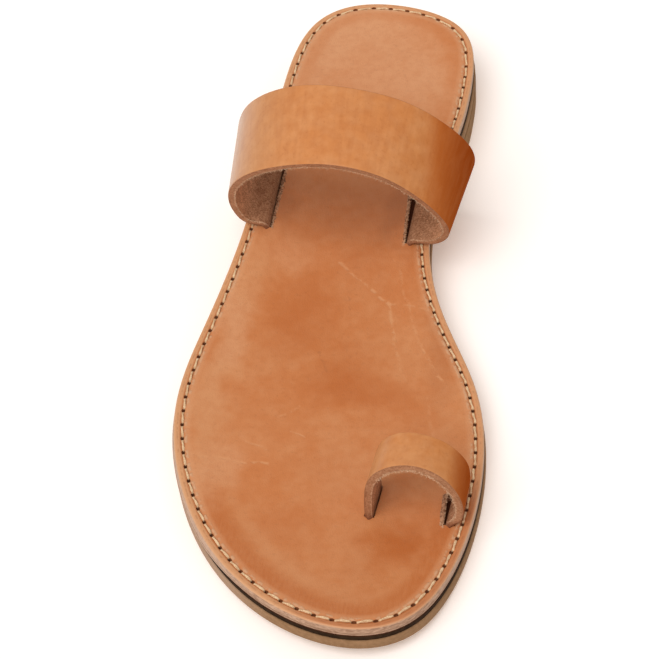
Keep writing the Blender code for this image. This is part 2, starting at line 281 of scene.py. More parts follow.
# %% Profile
OUTSOLE_THICKNESS = 3.2
MIDSOLE_THICKNESS = 1.1
INSOLE_THICKNESS = 3.4
GLUE_GAP = 0.3
GLUE_LEFT = 0.02
MIDSOLE_BASE = OUTSOLE_THICKNESS + GLUE_GAP
INSOLE_BASE = MIDSOLE_BASE + MIDSOLE_THICKNESS + GLUE_GAP
FOOTBED = INSOLE_BASE + INSOLE_THICKNESS
HEEL_LIFT = 7.4
HEEL_BREAST_ALONG = 60.0
ARCH_FRONT_ALONG = -25.0
TOE_ROLL_ALONG = -78.0
TOE_SPRING = 4.0
DISH_DEPTH = 0.8
DISH_BORDER = 4.3
DISH_RUN = 9.0
SEAM_INSET = 2.3
CHANNEL_DEPTH = 0.34
CHANNEL_HALF_WIDTH = 1.1


def smoothstep(value):
    value = np.clip(value, 0.0, 1.0)
    return value * value * (3.0 - 2.0 * value)


def underside(along):
    """Height of the outsole's lower face in mm."""
    toe = np.maximum(TOE_ROLL_ALONG - along, 0.0) / (TOE_ROLL_ALONG + HALF_LENGTH)
    arch = (along - ARCH_FRONT_ALONG) / (HEEL_BREAST_ALONG - ARCH_FRONT_ALONG)
    return TOE_SPRING * toe ** 2 + HEEL_LIFT * smoothstep(arch)


def footbed_top(along, inset):
    """Height of the insole's grain side, inset mm inside the rim, in mm."""
    dish = DISH_DEPTH * smoothstep((inset - DISH_BORDER) / DISH_RUN)
    reach = np.clip(np.abs(inset - SEAM_INSET) / CHANNEL_HALF_WIDTH, 0.0, 1.0)
    channel = CHANNEL_DEPTH * 0.5 * (1.0 + np.cos(math.pi * reach))
    return underside(along) + FOOTBED - dish - channel


print("footbed height in mm at toe, ball and heel:",
      [round(float(footbed_top(along, 30.0)), 1) for along in (-118.0, -50.0, 100.0)])

# %% [markdown]
# ## Effects shared by the finishes
# Leather and thread repeat a few effects: soft blotches of tone, a pebbled grain, the marks of
# brushing and bending, fibres on a raw cut, a soft stain, a scratch. Each is built once as a
# node group with named sockets. The finishes below only choose sizes, places and colours.

# %% Helpers for nodes
def new_effect(name, inputs, outputs):
    """Start a node group: inputs are (name, kind, value) and outputs (name, kind)."""
    effect = bpy.data.node_groups.new(name, "ShaderNodeTree")
    for label, kind, value in inputs:
        socket = effect.interface.new_socket(label, in_out="INPUT", socket_type="NodeSocket" + kind)
        if value is not None:
            socket.default_value = value
    for label, kind in outputs:
        effect.interface.new_socket(label, in_out="OUTPUT", socket_type="NodeSocket" + kind)
    start = effect.nodes.new("NodeGroupInput").outputs
    end = effect.nodes.new("NodeGroupOutput").inputs
    return effect, start, end


def place_effect(tree, effect, sockets):
    """Put a node group into a material or another group and return its outputs."""
    return add_node(tree, "ShaderNodeGroup", sockets, node_tree=effect).outputs


def maths(tree, operation, first, second=0.0):
    return add_node(tree, "ShaderNodeMath", {0: first, 1: second}, operation=operation).outputs[0]


def times(tree, first, second):
    return maths(tree, "MULTIPLY", first, second)


def weighed(tree, first, second, share):
    """A share of the first value and the rest of the second."""
    return maths(tree, "ADD", times(tree, first, share), times(tree, second, 1.0 - share))


def sides_of(tree, vector):
    """The parts of a vector, as outputs named X, Y and Z."""
    return add_node(tree, "ShaderNodeSeparateXYZ", {0: vector}).outputs


def vectors(tree, operation, first, second, output="Vector"):
    node = add_node(tree, "ShaderNodeVectorMath", {0: first, 1: second}, operation=operation)
    return node.outputs[output]


def ranged(tree, value, low, high, to_low=0.0, to_high=1.0):
    """Ease a value from low..high to to_low..to_high and hold it at both ends."""
    node = add_node(tree, "ShaderNodeMapRange",
                    {"Value": value, "From Min": low, "From Max": high,
                     "To Min": to_low, "To Max": to_high}, interpolation_type="SMOOTHSTEP")
    return node.outputs["Result"]


def noise(tree, vector, scale, detail=3.0, distortion=0.0):
    return add_node(tree, "ShaderNodeTexNoise", {"Vector": vector, "Scale": scale, "Detail": detail,
                                                 "Distortion": distortion}).outputs["Fac"]


def blended(tree, factor, under, over):
    """Lay one colour over another where the factor is high."""
    colours = [value if isinstance(value, bpy.types.NodeSocket) else (*value, 1.0)
               for value in (under, over)]
    return add_node(tree, "ShaderNodeMix", {0: factor, 6: colours[0], 7: colours[1]},
                    data_type="RGBA").outputs[2]


def layered(tree, colour, *layers):
    """Lay colours over one another in turn, each through its own mask."""
    for mask, over in layers:
        colour = blended(tree, mask, colour, over)
    return colour


print("node helpers ready")

# %% Blotches, grain and fibres
hide_tone, start, end = new_effect(
    "hide_tone", [("Vector", "Vector", None), ("Blotch", "Float", 40.0)],
    [("Tone", "Float"), ("Fleck", "Float")])
broad = noise(hide_tone, start["Vector"], start["Blotch"], 4.0, 0.5)
close = noise(hide_tone, start["Vector"], times(hide_tone, start["Blotch"], 7.0), 4.0)
mixed = weighed(hide_tone, broad, close, 0.6)
hide_tone.links.new(ranged(hide_tone, mixed, 0.36, 0.64), end["Tone"])
specks = noise(hide_tone, start["Vector"], 1100.0, 2.0)
hide_tone.links.new(ranged(hide_tone, specks, 0.56, 0.74), end["Fleck"])

hide_grain, start, end = new_effect(
    "hide_grain", [("Vector", "Vector", None), ("Pebble", "Float", 1500.0)], [("Height", "Float")])
pebbles = add_node(hide_grain, "ShaderNodeTexVoronoi",
                   {"Vector": start["Vector"], "Scale": start["Pebble"]},
                   feature="DISTANCE_TO_EDGE").outputs["Distance"]
crease = ranged(hide_grain, pebbles, 0.0, 0.16)
waves = noise(hide_grain, start["Vector"], 420.0, 4.0)
hide_grain.links.new(maths(hide_grain, "ADD", times(hide_grain, crease, 0.35), waves),
                     end["Height"])

brush_mark, start, end = new_effect(
    "brush_mark", [("Vector", "Vector", None), ("Squeeze", "Vector", None), ("Turn", "Vector", None)],
    [("Mark", "Float")])
turned = add_node(brush_mark, "ShaderNodeMapping",
                  {"Vector": start["Vector"], "Rotation": start["Turn"], "Scale": start["Squeeze"]})
strokes = noise(brush_mark, turned.outputs["Vector"], 1.0, 3.0, 0.3)
brush_mark.links.new(ranged(brush_mark, strokes, 0.38, 0.66), end["Mark"])

raw_fibre, start, end = new_effect(
    "raw_fibre", [("Vector", "Vector", None), ("Fineness", "Float", 1500.0)],
    [("Tone", "Float"), ("Height", "Float")])
tufts = noise(raw_fibre, start["Vector"], start["Fineness"], 5.0, 1.2)
clumps = noise(raw_fibre, start["Vector"], times(raw_fibre, start["Fineness"], 0.2), 3.0)
nap = weighed(raw_fibre, tufts, clumps, 0.76)
raw_fibre.links.new(ranged(raw_fibre, nap, 0.35, 0.65), end["Tone"])
raw_fibre.links.new(nap, end["Height"])
print("effects:", ", ".join(group.name for group in bpy.data.node_groups))

# %% Stains and scratches
soft_patch, start, end = new_effect(
    "soft_patch", [("Vector", "Vector", None), ("Centre", "Vector", None), ("Reach", "Vector", None)],
    [("Mask", "Float")])
drift = add_node(soft_patch, "ShaderNodeTexNoise",
                 {"Vector": start["Vector"], "Scale": 75.0, "Detail": 3.0}).outputs["Color"]
drift = vectors(soft_patch, "MULTIPLY", vectors(soft_patch, "SUBTRACT", drift, (0.5, 0.5, 0.5)),
                (0.022, 0.022, 0.022))
aside = vectors(soft_patch, "SUBTRACT", vectors(soft_patch, "ADD", start["Vector"], drift),
                start["Centre"])
reach = vectors(soft_patch, "LENGTH", vectors(soft_patch, "DIVIDE", aside, start["Reach"]),
                (0.0, 0.0, 0.0), "Value")
soft_patch.links.new(ranged(soft_patch, reach, 1.15, 0.1), end["Mask"])

scuff_line, start, end = new_effect(
    "scuff_line", [("Vector", "Vector", None), ("From", "Vector", None), ("To", "Vector", None),
                   ("Width", "Float", 0.0006), ("Wander", "Float", 0.008)], [("Mask", "Float")])
flat = vectors(scuff_line, "MULTIPLY", start["Vector"], (1.0, 1.0, 0.0))
wobble = add_node(scuff_line, "ShaderNodeTexNoise",
                  {"Vector": flat, "Scale": 130.0, "Detail": 4.0}).outputs["Color"]
wobble = vectors(scuff_line, "SUBTRACT", wobble, (0.5, 0.5, 0.5))
wobble = add_node(scuff_line, "ShaderNodeVectorMath", {0: wobble, "Scale": start["Wander"]},
                  operation="SCALE").outputs["Vector"]
wobble = vectors(scuff_line, "MULTIPLY", wobble, (1.0, 1.0, 0.0))
there = vectors(scuff_line, "SUBTRACT", vectors(scuff_line, "ADD", flat, wobble), start["From"])
run = vectors(scuff_line, "SUBTRACT", start["To"], start["From"])
share = maths(scuff_line, "DIVIDE", vectors(scuff_line, "DOT_PRODUCT", there, run, "Value"),
              vectors(scuff_line, "DOT_PRODUCT", run, run, "Value"))
share.node.use_clamp = True
nearest = add_node(scuff_line, "ShaderNodeVectorMath", {0: run, "Scale": share}, operation="SCALE")
away = vectors(scuff_line, "DISTANCE", there, nearest.outputs["Vector"], "Value")
trace = ranged(scuff_line, maths(scuff_line, "DIVIDE", away, start["Width"]), 1.0, 0.1)
broken = ranged(scuff_line, noise(scuff_line, flat, 420.0, 3.0), 0.38, 0.6)
scuff_line.links.new(times(scuff_line, trace, broken), end["Mask"])
print("effects:", len(bpy.data.node_groups))

# %% [markdown]
# ## Where the bands go through
# Each band goes down through the footbed at both ends. A row gives the line of a slot along the
# middle of the band, the side that the band's flesh looks to, the open gap on that side at the
# front and at the rear, how far the band steps towards the toe as it leaves the slot, and how
# much the knife has torn the lip.

# %% Slots
Slot = namedtuple("Slot", "front_across front_along rear_across rear_along "
                          "flesh_side front_play rear_play step torn")
STRAP_THICKNESS = 2.0
LOOP_THICKNESS = 2.2
STRAP_SLOTS = (Slot(-27.2, 19.5, -26.2, 44.5, +1, 0.75, 1.25, 0.3, 1.0),
               Slot(15.8, 15.7, 17.8, 40.6, -1, 0.80, 2.50, 0.5, 0.7))
LOOP_SLOTS = (Slot(14.5, -83.3, 15.7, -71.7, +1, 0.30, 0.45, 0.0, 0.0),
              Slot(35.9, -85.0, 37.1, -73.7, -1, 0.80, 1.75, 0.0, 1.0))
ALL_SLOTS = ([(STRAP_THICKNESS, slot) for slot in STRAP_SLOTS]
             + [(LOOP_THICKNESS, slot) for slot in LOOP_SLOTS])


def flesh_wall(thickness, slot):
    """Front and rear end, in mm, of the slot's wall on the band's flesh side."""
    front = slot.front_across + slot.flesh_side * (thickness / 2.0 + slot.front_play)
    rear = slot.rear_across + slot.flesh_side * (thickness / 2.0 + slot.rear_play)
    return (front, slot.front_along), (rear, slot.rear_along)


print("slots:", len(ALL_SLOTS))

# %% [markdown]
# ## Footbed leather
# The footbed is waxed vegetable-tanned leather. Its tan is never even: it is deeper under the ball
# and the big toe, paler along the outer side and the heel, partly as a painted sheen, and it
# carries pale scratches, dark creases and torn lips beside the slots. Painted shade lies round the
# toe rim and the heel on the dish's slope, under the strap, beside the slots and along the thread's
# channel, and a painted highlight runs along the channel's inner lip and the rim's corner. Patches,
# scratches and creases are placed in the sandal's own millimetres; blotches and grain fill in between.

# %% Colours and marks of the footbed
TAN = {"pale": (0.640, 0.283, 0.122), "even": (0.560, 0.188, 0.058), "deep": (0.470, 0.122, 0.023),
       "heel": (0.670, 0.315, 0.152), "rim": (0.665, 0.330, 0.155), "worn": (0.540, 0.205, 0.082),
       "raw": (0.640, 0.355, 0.195), "shade": (0.290, 0.095, 0.034), "chalky": (0.640, 0.440, 0.330)}
TONE_AND_LIGHT_PATCHES = {  # across, along, half width, half length, strength
    # pale: paler leather, partly a painted sheen on the little-toe side
    "pale": ((-34, -45, 9, 45, 0.80), (-30, 2, 7, 24, 0.80), (20, -22, 7, 22, 0.20),
             (32, -52, 8, 20, 0.25), (-20, -58, 16, 12, 0.30), (12, -66, 14, 10, 0.20)),
    # heel: paler leather, partly a painted sheen on the heel and the little-toe side
    "heel": ((-6, 110, 28, 24, 0.85), (-20, 94, 14, 28, 0.75), (12, 87, 16, 24, 0.80),
             (-33, -17, 7, 22, 0.60), (-29, -72, 9, 14, 0.50), (-20, 12, 8, 10, 0.35),
             (-3, 85, 12, 18, 0.70)),
    # deep: deeper leather; the wide patch at the waist, under the strap, is painted shade
    "deep": ((-14, -12, 13, 18, 0.60), (5, -38, 19, 9, 0.72), (3, -28, 16, 12, 0.30),
             (22, -92, 8, 12, 0.85), (-7, -87, 14, 10, 0.30), (2, 24, 28, 16, 0.22),
             (18, -44, 12, 8, 0.25)),
    # shade: painted shade under the strap and beside its slots, on the big-toe edge and round the loop
    "shade": ((-24, 32, 5, 17, 0.28), (12, 28, 6, 18, 0.32), (0, 28, 27, 20, 0.23),
              (28, -8, 7, 28, 0.13), (30, -28, 7, 26, 0.20), (2, -70, 14, 12, 0.06),
              (14, -100, 8, 8, 0.08)),
}
SCRATCHES = (  # from across, along, to across, along, width, strength
    (-4, 8, 4, 1, 0.8, 0.80), (4, 1, 12, -6, 0.8, 0.90), (12, -6, 14, -16, 0.8, 0.85),
    (14, -16, 16, -25, 0.8, 0.65), (16, -25, 19, -34, 0.7, 0.50), (12, -6, 24, -8, 0.6, 0.50),
    (17, -5, 22, -20, 0.8, 0.50), (22, -20, 29, -34, 0.8, 0.70), (11, 11, 14, 5, 0.6, 0.40),
    (14, 5, 16, -4, 0.6, 0.40), (-22, -59, -16, -62, 0.6, 0.60), (-36, -66, -15, -67, 0.7, 0.75),
    (-10, -55, -6, -57, 0.6, 0.60), (26, -40, 29, -55, 0.7, 0.35), (-14, -50, -9, -46, 0.6, 0.45),
    (16, -68, 24, -66, 0.6, 0.50),
)
CREASES = ((0, -2, 1, -8, 0.7, 0.25), (-6, -25, -3, -32, 0.7, 0.25))
FLAT_REACH = 1.0
LINE_WANDER = 0.003
LIP_WANDER = 0.0016
LIP_LINE_WIDTH = 0.8
LIP_LINE_STRENGTH = 0.75
print("stains:", sum(len(patches) for patches in TONE_AND_LIGHT_PATCHES.values()), "lines:", len(SCRATCHES + CREASES))


# %% Helpers for finishes
def new_finish(name, roughness, specular):
    """Start a material and return it with its tree, its shader and the sandal's own coordinates."""
    material = bpy.data.materials.new(name)
    material.use_nodes = True
    tree = material.node_tree
    shader = tree.nodes["Principled BSDF"]
    shader.inputs["Roughness"].default_value = roughness
    shader.inputs["Specular IOR Level"].default_value = specular
    return material, tree, shader, add_node(tree, "ShaderNodeTexCoord").outputs["Object"]


def set_bump(tree, shader, height, distance):
    bump = add_node(tree, "ShaderNodeBump", {"Height": height, "Distance": distance * MM})
    tree.links.new(bump.outputs["Normal"], shader.inputs["Normal"])


def attribute(tree, name):
    return add_node(tree, "ShaderNodeAttribute", attribute_name=name).outputs["Fac"]


def strip(tree, value, centre, half_width, strength=1.0):
    """Soft mask that is strongest where a value meets a centre."""
    away = maths(tree, "ABSOLUTE", maths(tree, "SUBTRACT", value, centre))
    return ranged(tree, away, half_width, 0.15 * half_width, 0.0, strength)


def patched(tree, coords, colour, patches, over):
    """Lay soft patches of one colour over another, each at its own place and strength."""
    for across, along, half_width, half_length, strength in patches:
        mask = place_effect(tree, soft_patch, {
            "Vector": coords, "Centre": (across * MM, along * MM, 0.0),
            "Reach": (half_width * MM, half_length * MM, FLAT_REACH)})["Mask"]
        colour = blended(tree, times(tree, mask, strength), colour, over)
    return colour


def scuffed(tree, coords, colour, lines, wander, over):
    """Draw broken lines over a colour; return the colour and the lines' own mask."""
    marks = 0.0
    for from_across, from_along, to_across, to_along, width, strength in lines:
        mask = place_effect(tree, scuff_line, {
            "Vector": coords, "From": (from_across * MM, from_along * MM, 0.0),
            "To": (to_across * MM, to_along * MM, 0.0), "Width": width * MM,
            "Wander": wander})["Mask"]
        mask = times(tree, mask, strength)
        colour = blended(tree, mask, colour, over)
        marks = maths(tree, "MAXIMUM", mask, marks)
    return colour, marks


print("finish helpers ready")

# %% Footbed leather
footbed_leather, tree, shader, coords = new_finish("footbed_leather", 0.5, 0.28)
tone = place_effect(tree, hide_tone, {"Vector": coords, "Blotch": 34.0})
colour = blended(tree, times(tree, tone["Tone"], 0.45), TAN["even"], TAN["pale"])
for over, patches in TONE_AND_LIGHT_PATCHES.items():
    colour = patched(tree, coords, colour, patches, TAN[over])
inset = attribute(tree, "inset")
sides = sides_of(tree, coords)
at_toe = ranged(tree, sides["Y"], -70.0 * MM, -92.0 * MM)
at_heel = ranged(tree, sides["Y"], 60.0 * MM, 90.0 * MM)
mottle = ranged(tree, noise(tree, coords, 430.0, 4.0), 0.36, 0.66, 0.0, 0.16)
strokes = place_effect(tree, brush_mark, {"Vector": coords, "Squeeze": (1300.0, 260.0, 1.0),
                                          "Turn": (0.0, 0.0, math.radians(38.0))})["Mark"]
hatch = maths(tree, "ADD", times(tree, strokes, 0.20), 0.42)
# Painted shade on the dish's slope inside the rim, round the toe and round the heel.
toe_dish_shade = times(tree, times(tree, strip(tree, inset, 6.2, 5.0), at_toe), hatch)
ridge = times(tree, strip(tree, inset, 12.5, 2.6, 0.30), at_toe)
ridge = times(tree, ridge, ranged(tree, sides["X"], 14.0 * MM, 0.0))
heel_dish_shade = times(tree, strip(tree, inset, 6.2, 3.4, 0.38), at_heel)
colour = layered(tree, colour, (mottle, TAN["deep"]), (toe_dish_shade, TAN["deep"]), (ridge, TAN["pale"]),
                 (heel_dish_shade, TAN["even"]))
colour, scratches = scuffed(tree, coords, colour, SCRATCHES, LINE_WANDER, TAN["pale"])
colour, creases = scuffed(tree, coords, colour, CREASES, LINE_WANDER, TAN["shade"])
at_rim = maths(tree, "MAXIMUM", ranged(tree, sides["Y"], -80.0 * MM, -60.0 * MM, 0.0, 0.9),
               ranged(tree, sides["X"], 8.0 * MM, -8.0 * MM))
rim_colour = blended(tree, at_rim, TAN["worn"], TAN["rim"])
torn = ranged(tree, noise(tree, coords, 560.0, 4.0), 0.44, 0.60)
# The channel's inner lip gets a painted highlight in the raw-leather colour.
lit_channel_lip = times(tree, strip(tree, inset, SEAM_INSET + 0.95, 0.75, 0.85), torn)
drawn_line = times(tree, strip(tree, inset, 1.0, 0.35, 0.30), torn)
# Painted shade along the thread's channel and a paler band inside it; the rim's raw-leather corner is
# partly a painted highlight.
colour = layered(tree, colour, (ranged(tree, inset, 2.0, 1.3, 0.0, 0.85), rim_colour),
                 (strip(tree, inset, SEAM_INSET, 0.9, 0.32), TAN["shade"]),
                 (strip(tree, inset, SEAM_INSET + 1.4, 1.5, 0.35), TAN["heel"]),
                 (lit_channel_lip, TAN["raw"]), (drawn_line, TAN["shade"]),
                 (ranged(tree, inset, 0.55, 0.15, 0.0, 0.7), TAN["raw"]))
lip_lines = []
for thickness, slot in ALL_SLOTS:
    front, rear = flesh_wall(thickness, slot)
    lip_lines.append((*front, *rear, LIP_LINE_WIDTH, LIP_LINE_STRENGTH * slot.torn))
colour, lips = scuffed(tree, coords, colour, lip_lines, LIP_WANDER, TAN["raw"])
colour = blended(tree, times(tree, tone["Fleck"], 0.14), colour, TAN["shade"])
tree.links.new(colour, shader.inputs["Base Color"])
tree.links.new(ranged(tree, tone["Tone"], 0.0, 1.0, 0.52, 0.42), shader.inputs["Roughness"])
grain = place_effect(tree, hide_grain, {"Vector": coords, "Pebble": 1500.0})["Height"]
lines = maths(tree, "ADD", scratches, times(tree, creases, 2.0))
grain = maths(tree, "SUBTRACT", grain, times(tree, lines, 1.2))
raised = times(tree, maths(tree, "MAXIMUM", lips, lit_channel_lip), 2.2)
set_bump(tree, shader, maths(tree, "ADD", grain, raised), 0.07)
print("footbed leather nodes:", len(tree.nodes))

# %% [markdown]
# ## Cut edges and raw leather
# Where leather is cut its fibres show. The walls of the slots are rough and pale, and the back
# of the bands is brown suede. The sole's own edge is pale and a little pink. It is two plies of
# leather, so a thin dark glue line runs round it. The awl holes and the floor of the slots are
# painted dark as painted shade, and a faint painted red glow lights them and the slot walls.

# %% Cut edges and raw leather
GLUE_LINE_LEVEL = 1.15
GLUE_BROWN = (0.240, 0.125, 0.070)
FOOT_SHADE_BROWN = (0.120, 0.048, 0.022)
PAINTED_GLOW_RED = (0.35, 0.10, 0.05, 1.0)


def fibre_finish(name, dark, light, fineness, relief, foot_shade=0.0, painted_glow=0.0, foot_rise=6.0):
    """Matt fibres in two tones, with painted shade towards a foot that starts at a rise in mm.

    A faint painted red glow lights holes and slots.
    """
    material, tree, shader, coords = new_finish(name, 0.92, 0.05)
    fibres = place_effect(tree, raw_fibre, {"Vector": coords, "Fineness": fineness})
    colour = blended(tree, fibres["Tone"], dark, light)
    if foot_shade:
        at_foot = ranged(tree, attribute(tree, "rise"), foot_rise, 0.05 * foot_rise, 0.0, foot_shade)
        colour = blended(tree, at_foot, colour, FOOT_SHADE_BROWN)
    tree.links.new(colour, shader.inputs["Base Color"])
    shader.inputs["Emission Color"].default_value = PAINTED_GLOW_RED
    shader.inputs["Emission Strength"].default_value = painted_glow
    set_bump(tree, shader, fibres["Height"], relief)
    return material


slot_wall = fibre_finish("slot_wall", (0.30, 0.140, 0.070), (0.66, 0.410, 0.255), 1600.0, 0.25, painted_glow=0.06)
# The flesh side darkens with painted shade towards the footbed.
strap_flesh = fibre_finish("strap_flesh", (0.305, 0.134, 0.065), (0.730, 0.377, 0.207), 2300.0, 0.30,
                           foot_shade=0.55)
lip_fibre = fibre_finish("lip_fibre", (0.165, 0.066, 0.032), (0.560, 0.310, 0.180), 1100.0, 0.30)
loose_fibre = fibre_finish("loose_fibre", (0.50, 0.290, 0.165), (0.76, 0.530, 0.350), 2500.0, 0.02)
# Painted shade for the floor of the slots and the awl holes, each with a faint painted red glow.
slot_shade_floor = fibre_finish("slot_shade_floor", (0.050, 0.015, 0.006), (0.080, 0.027, 0.011), 1200.0, 0.10,
                          painted_glow=0.03)
awl_hole_shade = fibre_finish("awl_hole_shade", (0.160, 0.055, 0.018), (0.260, 0.100, 0.036), 1200.0, 0.10, painted_glow=0.12)

footbed_edge, tree, shader, coords = new_finish("footbed_edge", 0.85, 0.25)
drawn = vectors(tree, "MULTIPLY", coords, (1.0, 1.0, 3.0))
fibres = place_effect(tree, raw_fibre, {"Vector": drawn, "Fineness": 520.0})
colour = blended(tree, fibres["Tone"], (0.310, 0.162, 0.095), (0.560, 0.345, 0.230))
paler = ranged(tree, sides_of(tree, coords)["Y"], -114.0 * MM, -98.0 * MM, 0.0, 0.5)
level = maths(tree, "ADD", attribute(tree, "level"), times(tree, fibres["Tone"], 0.12))
glue_line = strip(tree, level, GLUE_LINE_LEVEL, 0.30, 0.65)
colour = layered(tree, colour, (paler, TAN["chalky"]), (glue_line, GLUE_BROWN))
tree.links.new(colour, shader.inputs["Base Color"])
set_bump(tree, shader, fibres["Height"], 0.14)
print("raw leather finishes:", ", ".join(finish.name for finish in (
    slot_wall, strap_flesh, lip_fibre, loose_fibre, slot_shade_floor, awl_hole_shade, footbed_edge)))

# %% [markdown]
# ## Band leather
# The strap and the toe loop are cut from the same satin hide. Its wax coat is thickest on the
# little-toe side, where it mirrors the floor and is painted paler, partly as a painted sheen, and
# worn thin on the big-toe side, where its deep red is painted shade. Fine lines run square to the
# band, where it was bent. The cut edge runs from a burnished line on the grain side to a pale fuzzy
# line on the flesh side. Grain and cut edge are darkened with painted shade where the band meets
# the footbed, so the edge reads its depth below the grain and its rise.

# %% Band leather
HIDE = {"pale": (0.640, 0.287, 0.116), "even": (0.590, 0.222, 0.070), "wax_and_sheen": (0.560, 0.280, 0.120),
        "shade_amber": (0.520, 0.140, 0.026), "deep": (0.290, 0.050, 0.006), "foot": (0.170, 0.052, 0.020)}


def band_leather(name, wax_sheen_places, shade_places, blotch, bends, bend_strength):
    """Satin grain of a band; places across in mm say where wax with painted sheen and painted shade lie.
    """
    material, tree, shader, coords = new_finish(name, 0.42, 0.0)
    shader.inputs["Coat Roughness"].default_value = 0.26
    across = sides_of(tree, coords)["X"]
    band_uv = add_node(tree, "ShaderNodeUVMap", uv_map="UVMap").outputs["UV"]
    # Paler on the little-toe side: a real wax coat, and partly a painted sheen.
    wax_and_sheen = ranged(tree, across, wax_sheen_places[1] * MM, wax_sheen_places[0] * MM)
    # Deep red on the big-toe side is painted shade.
    shade_side = ranged(tree, across, shade_places[0] * MM, shade_places[1] * MM)
    tone = place_effect(tree, hide_tone, {"Vector": coords, "Blotch": blotch})
    mottle = ranged(tree, noise(tree, coords, 330.0, 4.0), 0.36, 0.66, 0.0, 0.13)
    # An amber ramp into the painted shade.
    ambered_shade = ranged(tree, across, (shade_places[0] + 1.0) * MM, (shade_places[0] + 7.0) * MM, 0.0, 0.85)
    bent, lines = (place_effect(tree, brush_mark, {"Vector": band_uv, "Squeeze": squeeze})["Mark"]
                   for squeeze in ((bends, 2.2, 1.0), (3.0 * bends, 1.6, 1.0)))
    # Painted shade where the band meets the footbed.
    at_foot = ranged(tree, attribute(tree, "rise"), 1.8, 0.0, 0.0, 0.6)
    colour = blended(tree, times(tree, tone["Tone"], 0.75), HIDE["even"], HIDE["pale"])
    colour = layered(tree, colour, (times(tree, wax_and_sheen, 0.8), HIDE["wax_and_sheen"]), (mottle, HIDE["deep"]),
                     (ambered_shade, HIDE["shade_amber"]), (shade_side, HIDE["deep"]),
                     (times(tree, bent, bend_strength), HIDE["pale"]),
                     (times(tree, lines, bend_strength), HIDE["deep"]),
                     (times(tree, tone["Fleck"], 0.12), HIDE["deep"]), (at_foot, HIDE["foot"]))
    tree.links.new(colour, shader.inputs["Base Color"])
    coated = ranged(tree, across, (shade_places[0] + 3.0) * MM, (shade_places[0] - 11.0) * MM)
    coat = times(tree, maths(tree, "ADD", times(tree, wax_and_sheen, 0.70), 0.30), coated)
    tree.links.new(coat, shader.inputs["Coat Weight"])
    tree.links.new(ranged(tree, tone["Tone"], 0.0, 1.0, 0.46, 0.38), shader.inputs["Roughness"])
    height = place_effect(tree, hide_grain, {"Vector": coords, "Pebble": 1900.0})["Height"]
    set_bump(tree, shader, maths(tree, "ADD", height, times(tree, bent, 0.3)), 0.05)
    return material


strap_hide = band_leather("strap_hide", (-36.0, -12.0), (18.5, 34.0), 45.0, 60.0, 0.09)
loop_hide = band_leather("loop_hide", (13.0, 21.0), (34.0, 42.0), 60.0, 36.0, 0.04)

band_edge, tree, shader, coords = new_finish("band_edge", 0.75, 0.2)
fibres = place_effect(tree, raw_fibre, {"Vector": coords, "Fineness": 1900.0})
rag = times(tree, maths(tree, "SUBTRACT", fibres["Tone"], 0.5), 0.30)
ragged = maths(tree, "ADD", attribute(tree, "depth"), rag)
colour = blended(tree, fibres["Tone"], (0.330, 0.142, 0.066), (0.480, 0.232, 0.120))
# The cut edge also darkens with painted shade near the footbed.
colour = layered(tree, colour, (ranged(tree, ragged, 0.34, 0.08, 0.0, 0.55), (0.270, 0.100, 0.040)),
                 (ranged(tree, ragged, 0.78, 0.96, 0.0, 0.85), (0.660, 0.430, 0.270)),
                 (ranged(tree, attribute(tree, "rise"), 3.2, 0.2, 0.0, 0.75), HIDE["foot"]))
tree.links.new(colour, shader.inputs["Base Color"])
set_bump(tree, shader, fibres["Height"], 0.2)
print("band finishes:", strap_hide.name, loop_hide.name, band_edge.name)

# %% [markdown]
# ## Rubber and thread
# The tread and the heel are tan crepe rubber with a fine crumb, and the thin layer on top of the
# tread is dark brown. The thread is waxed and beige; its plies are modelled, so the material adds
# only lint and painted shade where the thread dives into its holes.

# %% Rubber and thread
PALE_SIDE_TAN = (0.610, 0.425, 0.320)


def crumb_finish(name, dark, light, roughness, crumb, relief, side_paleness=0.0):
    """Matt rubber with a fine crumb, a slow drift of tone and a paler tone on its little-toe edge."""
    material, tree, shader, coords = new_finish(name, roughness, 0.05)
    crumbs = noise(tree, coords, crumb, 4.0)
    clouds = noise(tree, coords, 45.0, 3.0)
    tone = ranged(tree, weighed(tree, crumbs, clouds, 0.5), 0.36, 0.64)
    facing = sides_of(tree, add_node(tree, "ShaderNodeNewGeometry").outputs["Normal"])
    # Paler on the sides of the little-toe edge.
    paler_side = times(tree, ranged(tree, sides_of(tree, coords)["X"], -4.0 * MM, -26.0 * MM, 0.0, side_paleness),
                 ranged(tree, facing["Z"], -0.8, -0.3))
    colour = blended(tree, paler_side, blended(tree, tone, dark, light), PALE_SIDE_TAN)
    tree.links.new(colour, shader.inputs["Base Color"])
    set_bump(tree, shader, crumbs, relief)
    return material


tread_rubber = crumb_finish("tread_rubber", (0.268, 0.145, 0.071), (0.347, 0.192, 0.099), 0.78, 900.0,
                            0.12, side_paleness=0.42)
heel_crepe = crumb_finish("heel_crepe", (0.255, 0.137, 0.061), (0.335, 0.184, 0.088), 0.78, 900.0, 0.12)
dark_layer = crumb_finish("dark_layer", (0.022, 0.010, 0.004), (0.042, 0.021, 0.010), 0.7, 700.0, 0.08)
# The thread darkens with painted shade where it dives into its holes.
waxed_thread = fibre_finish("waxed_thread", (0.59, 0.370, 0.200), (0.83, 0.590, 0.365), 1800.0, 0.02,
                            foot_shade=0.95, foot_rise=0.5)
print("materials:", len(bpy.data.materials))

# %% [markdown]
# ## A blank for the sole sheets
# Every sheet of the sole starts as a round blank, one unit in radius: a disc with rings inset
# from its rim, a grid filled into the middle and one extrude for the thickness. The blank is
# then cast onto the last: the angle round the disc becomes the way round the outline, the rings
# keep their distance from the rim in millimetres, and the rest shrinks towards the waist, from
# where the whole outline can be seen. A disc gives an even rim for stitches, which a grid with
# straight rows would not. Helpers that select, move, round and paint a piece come first.

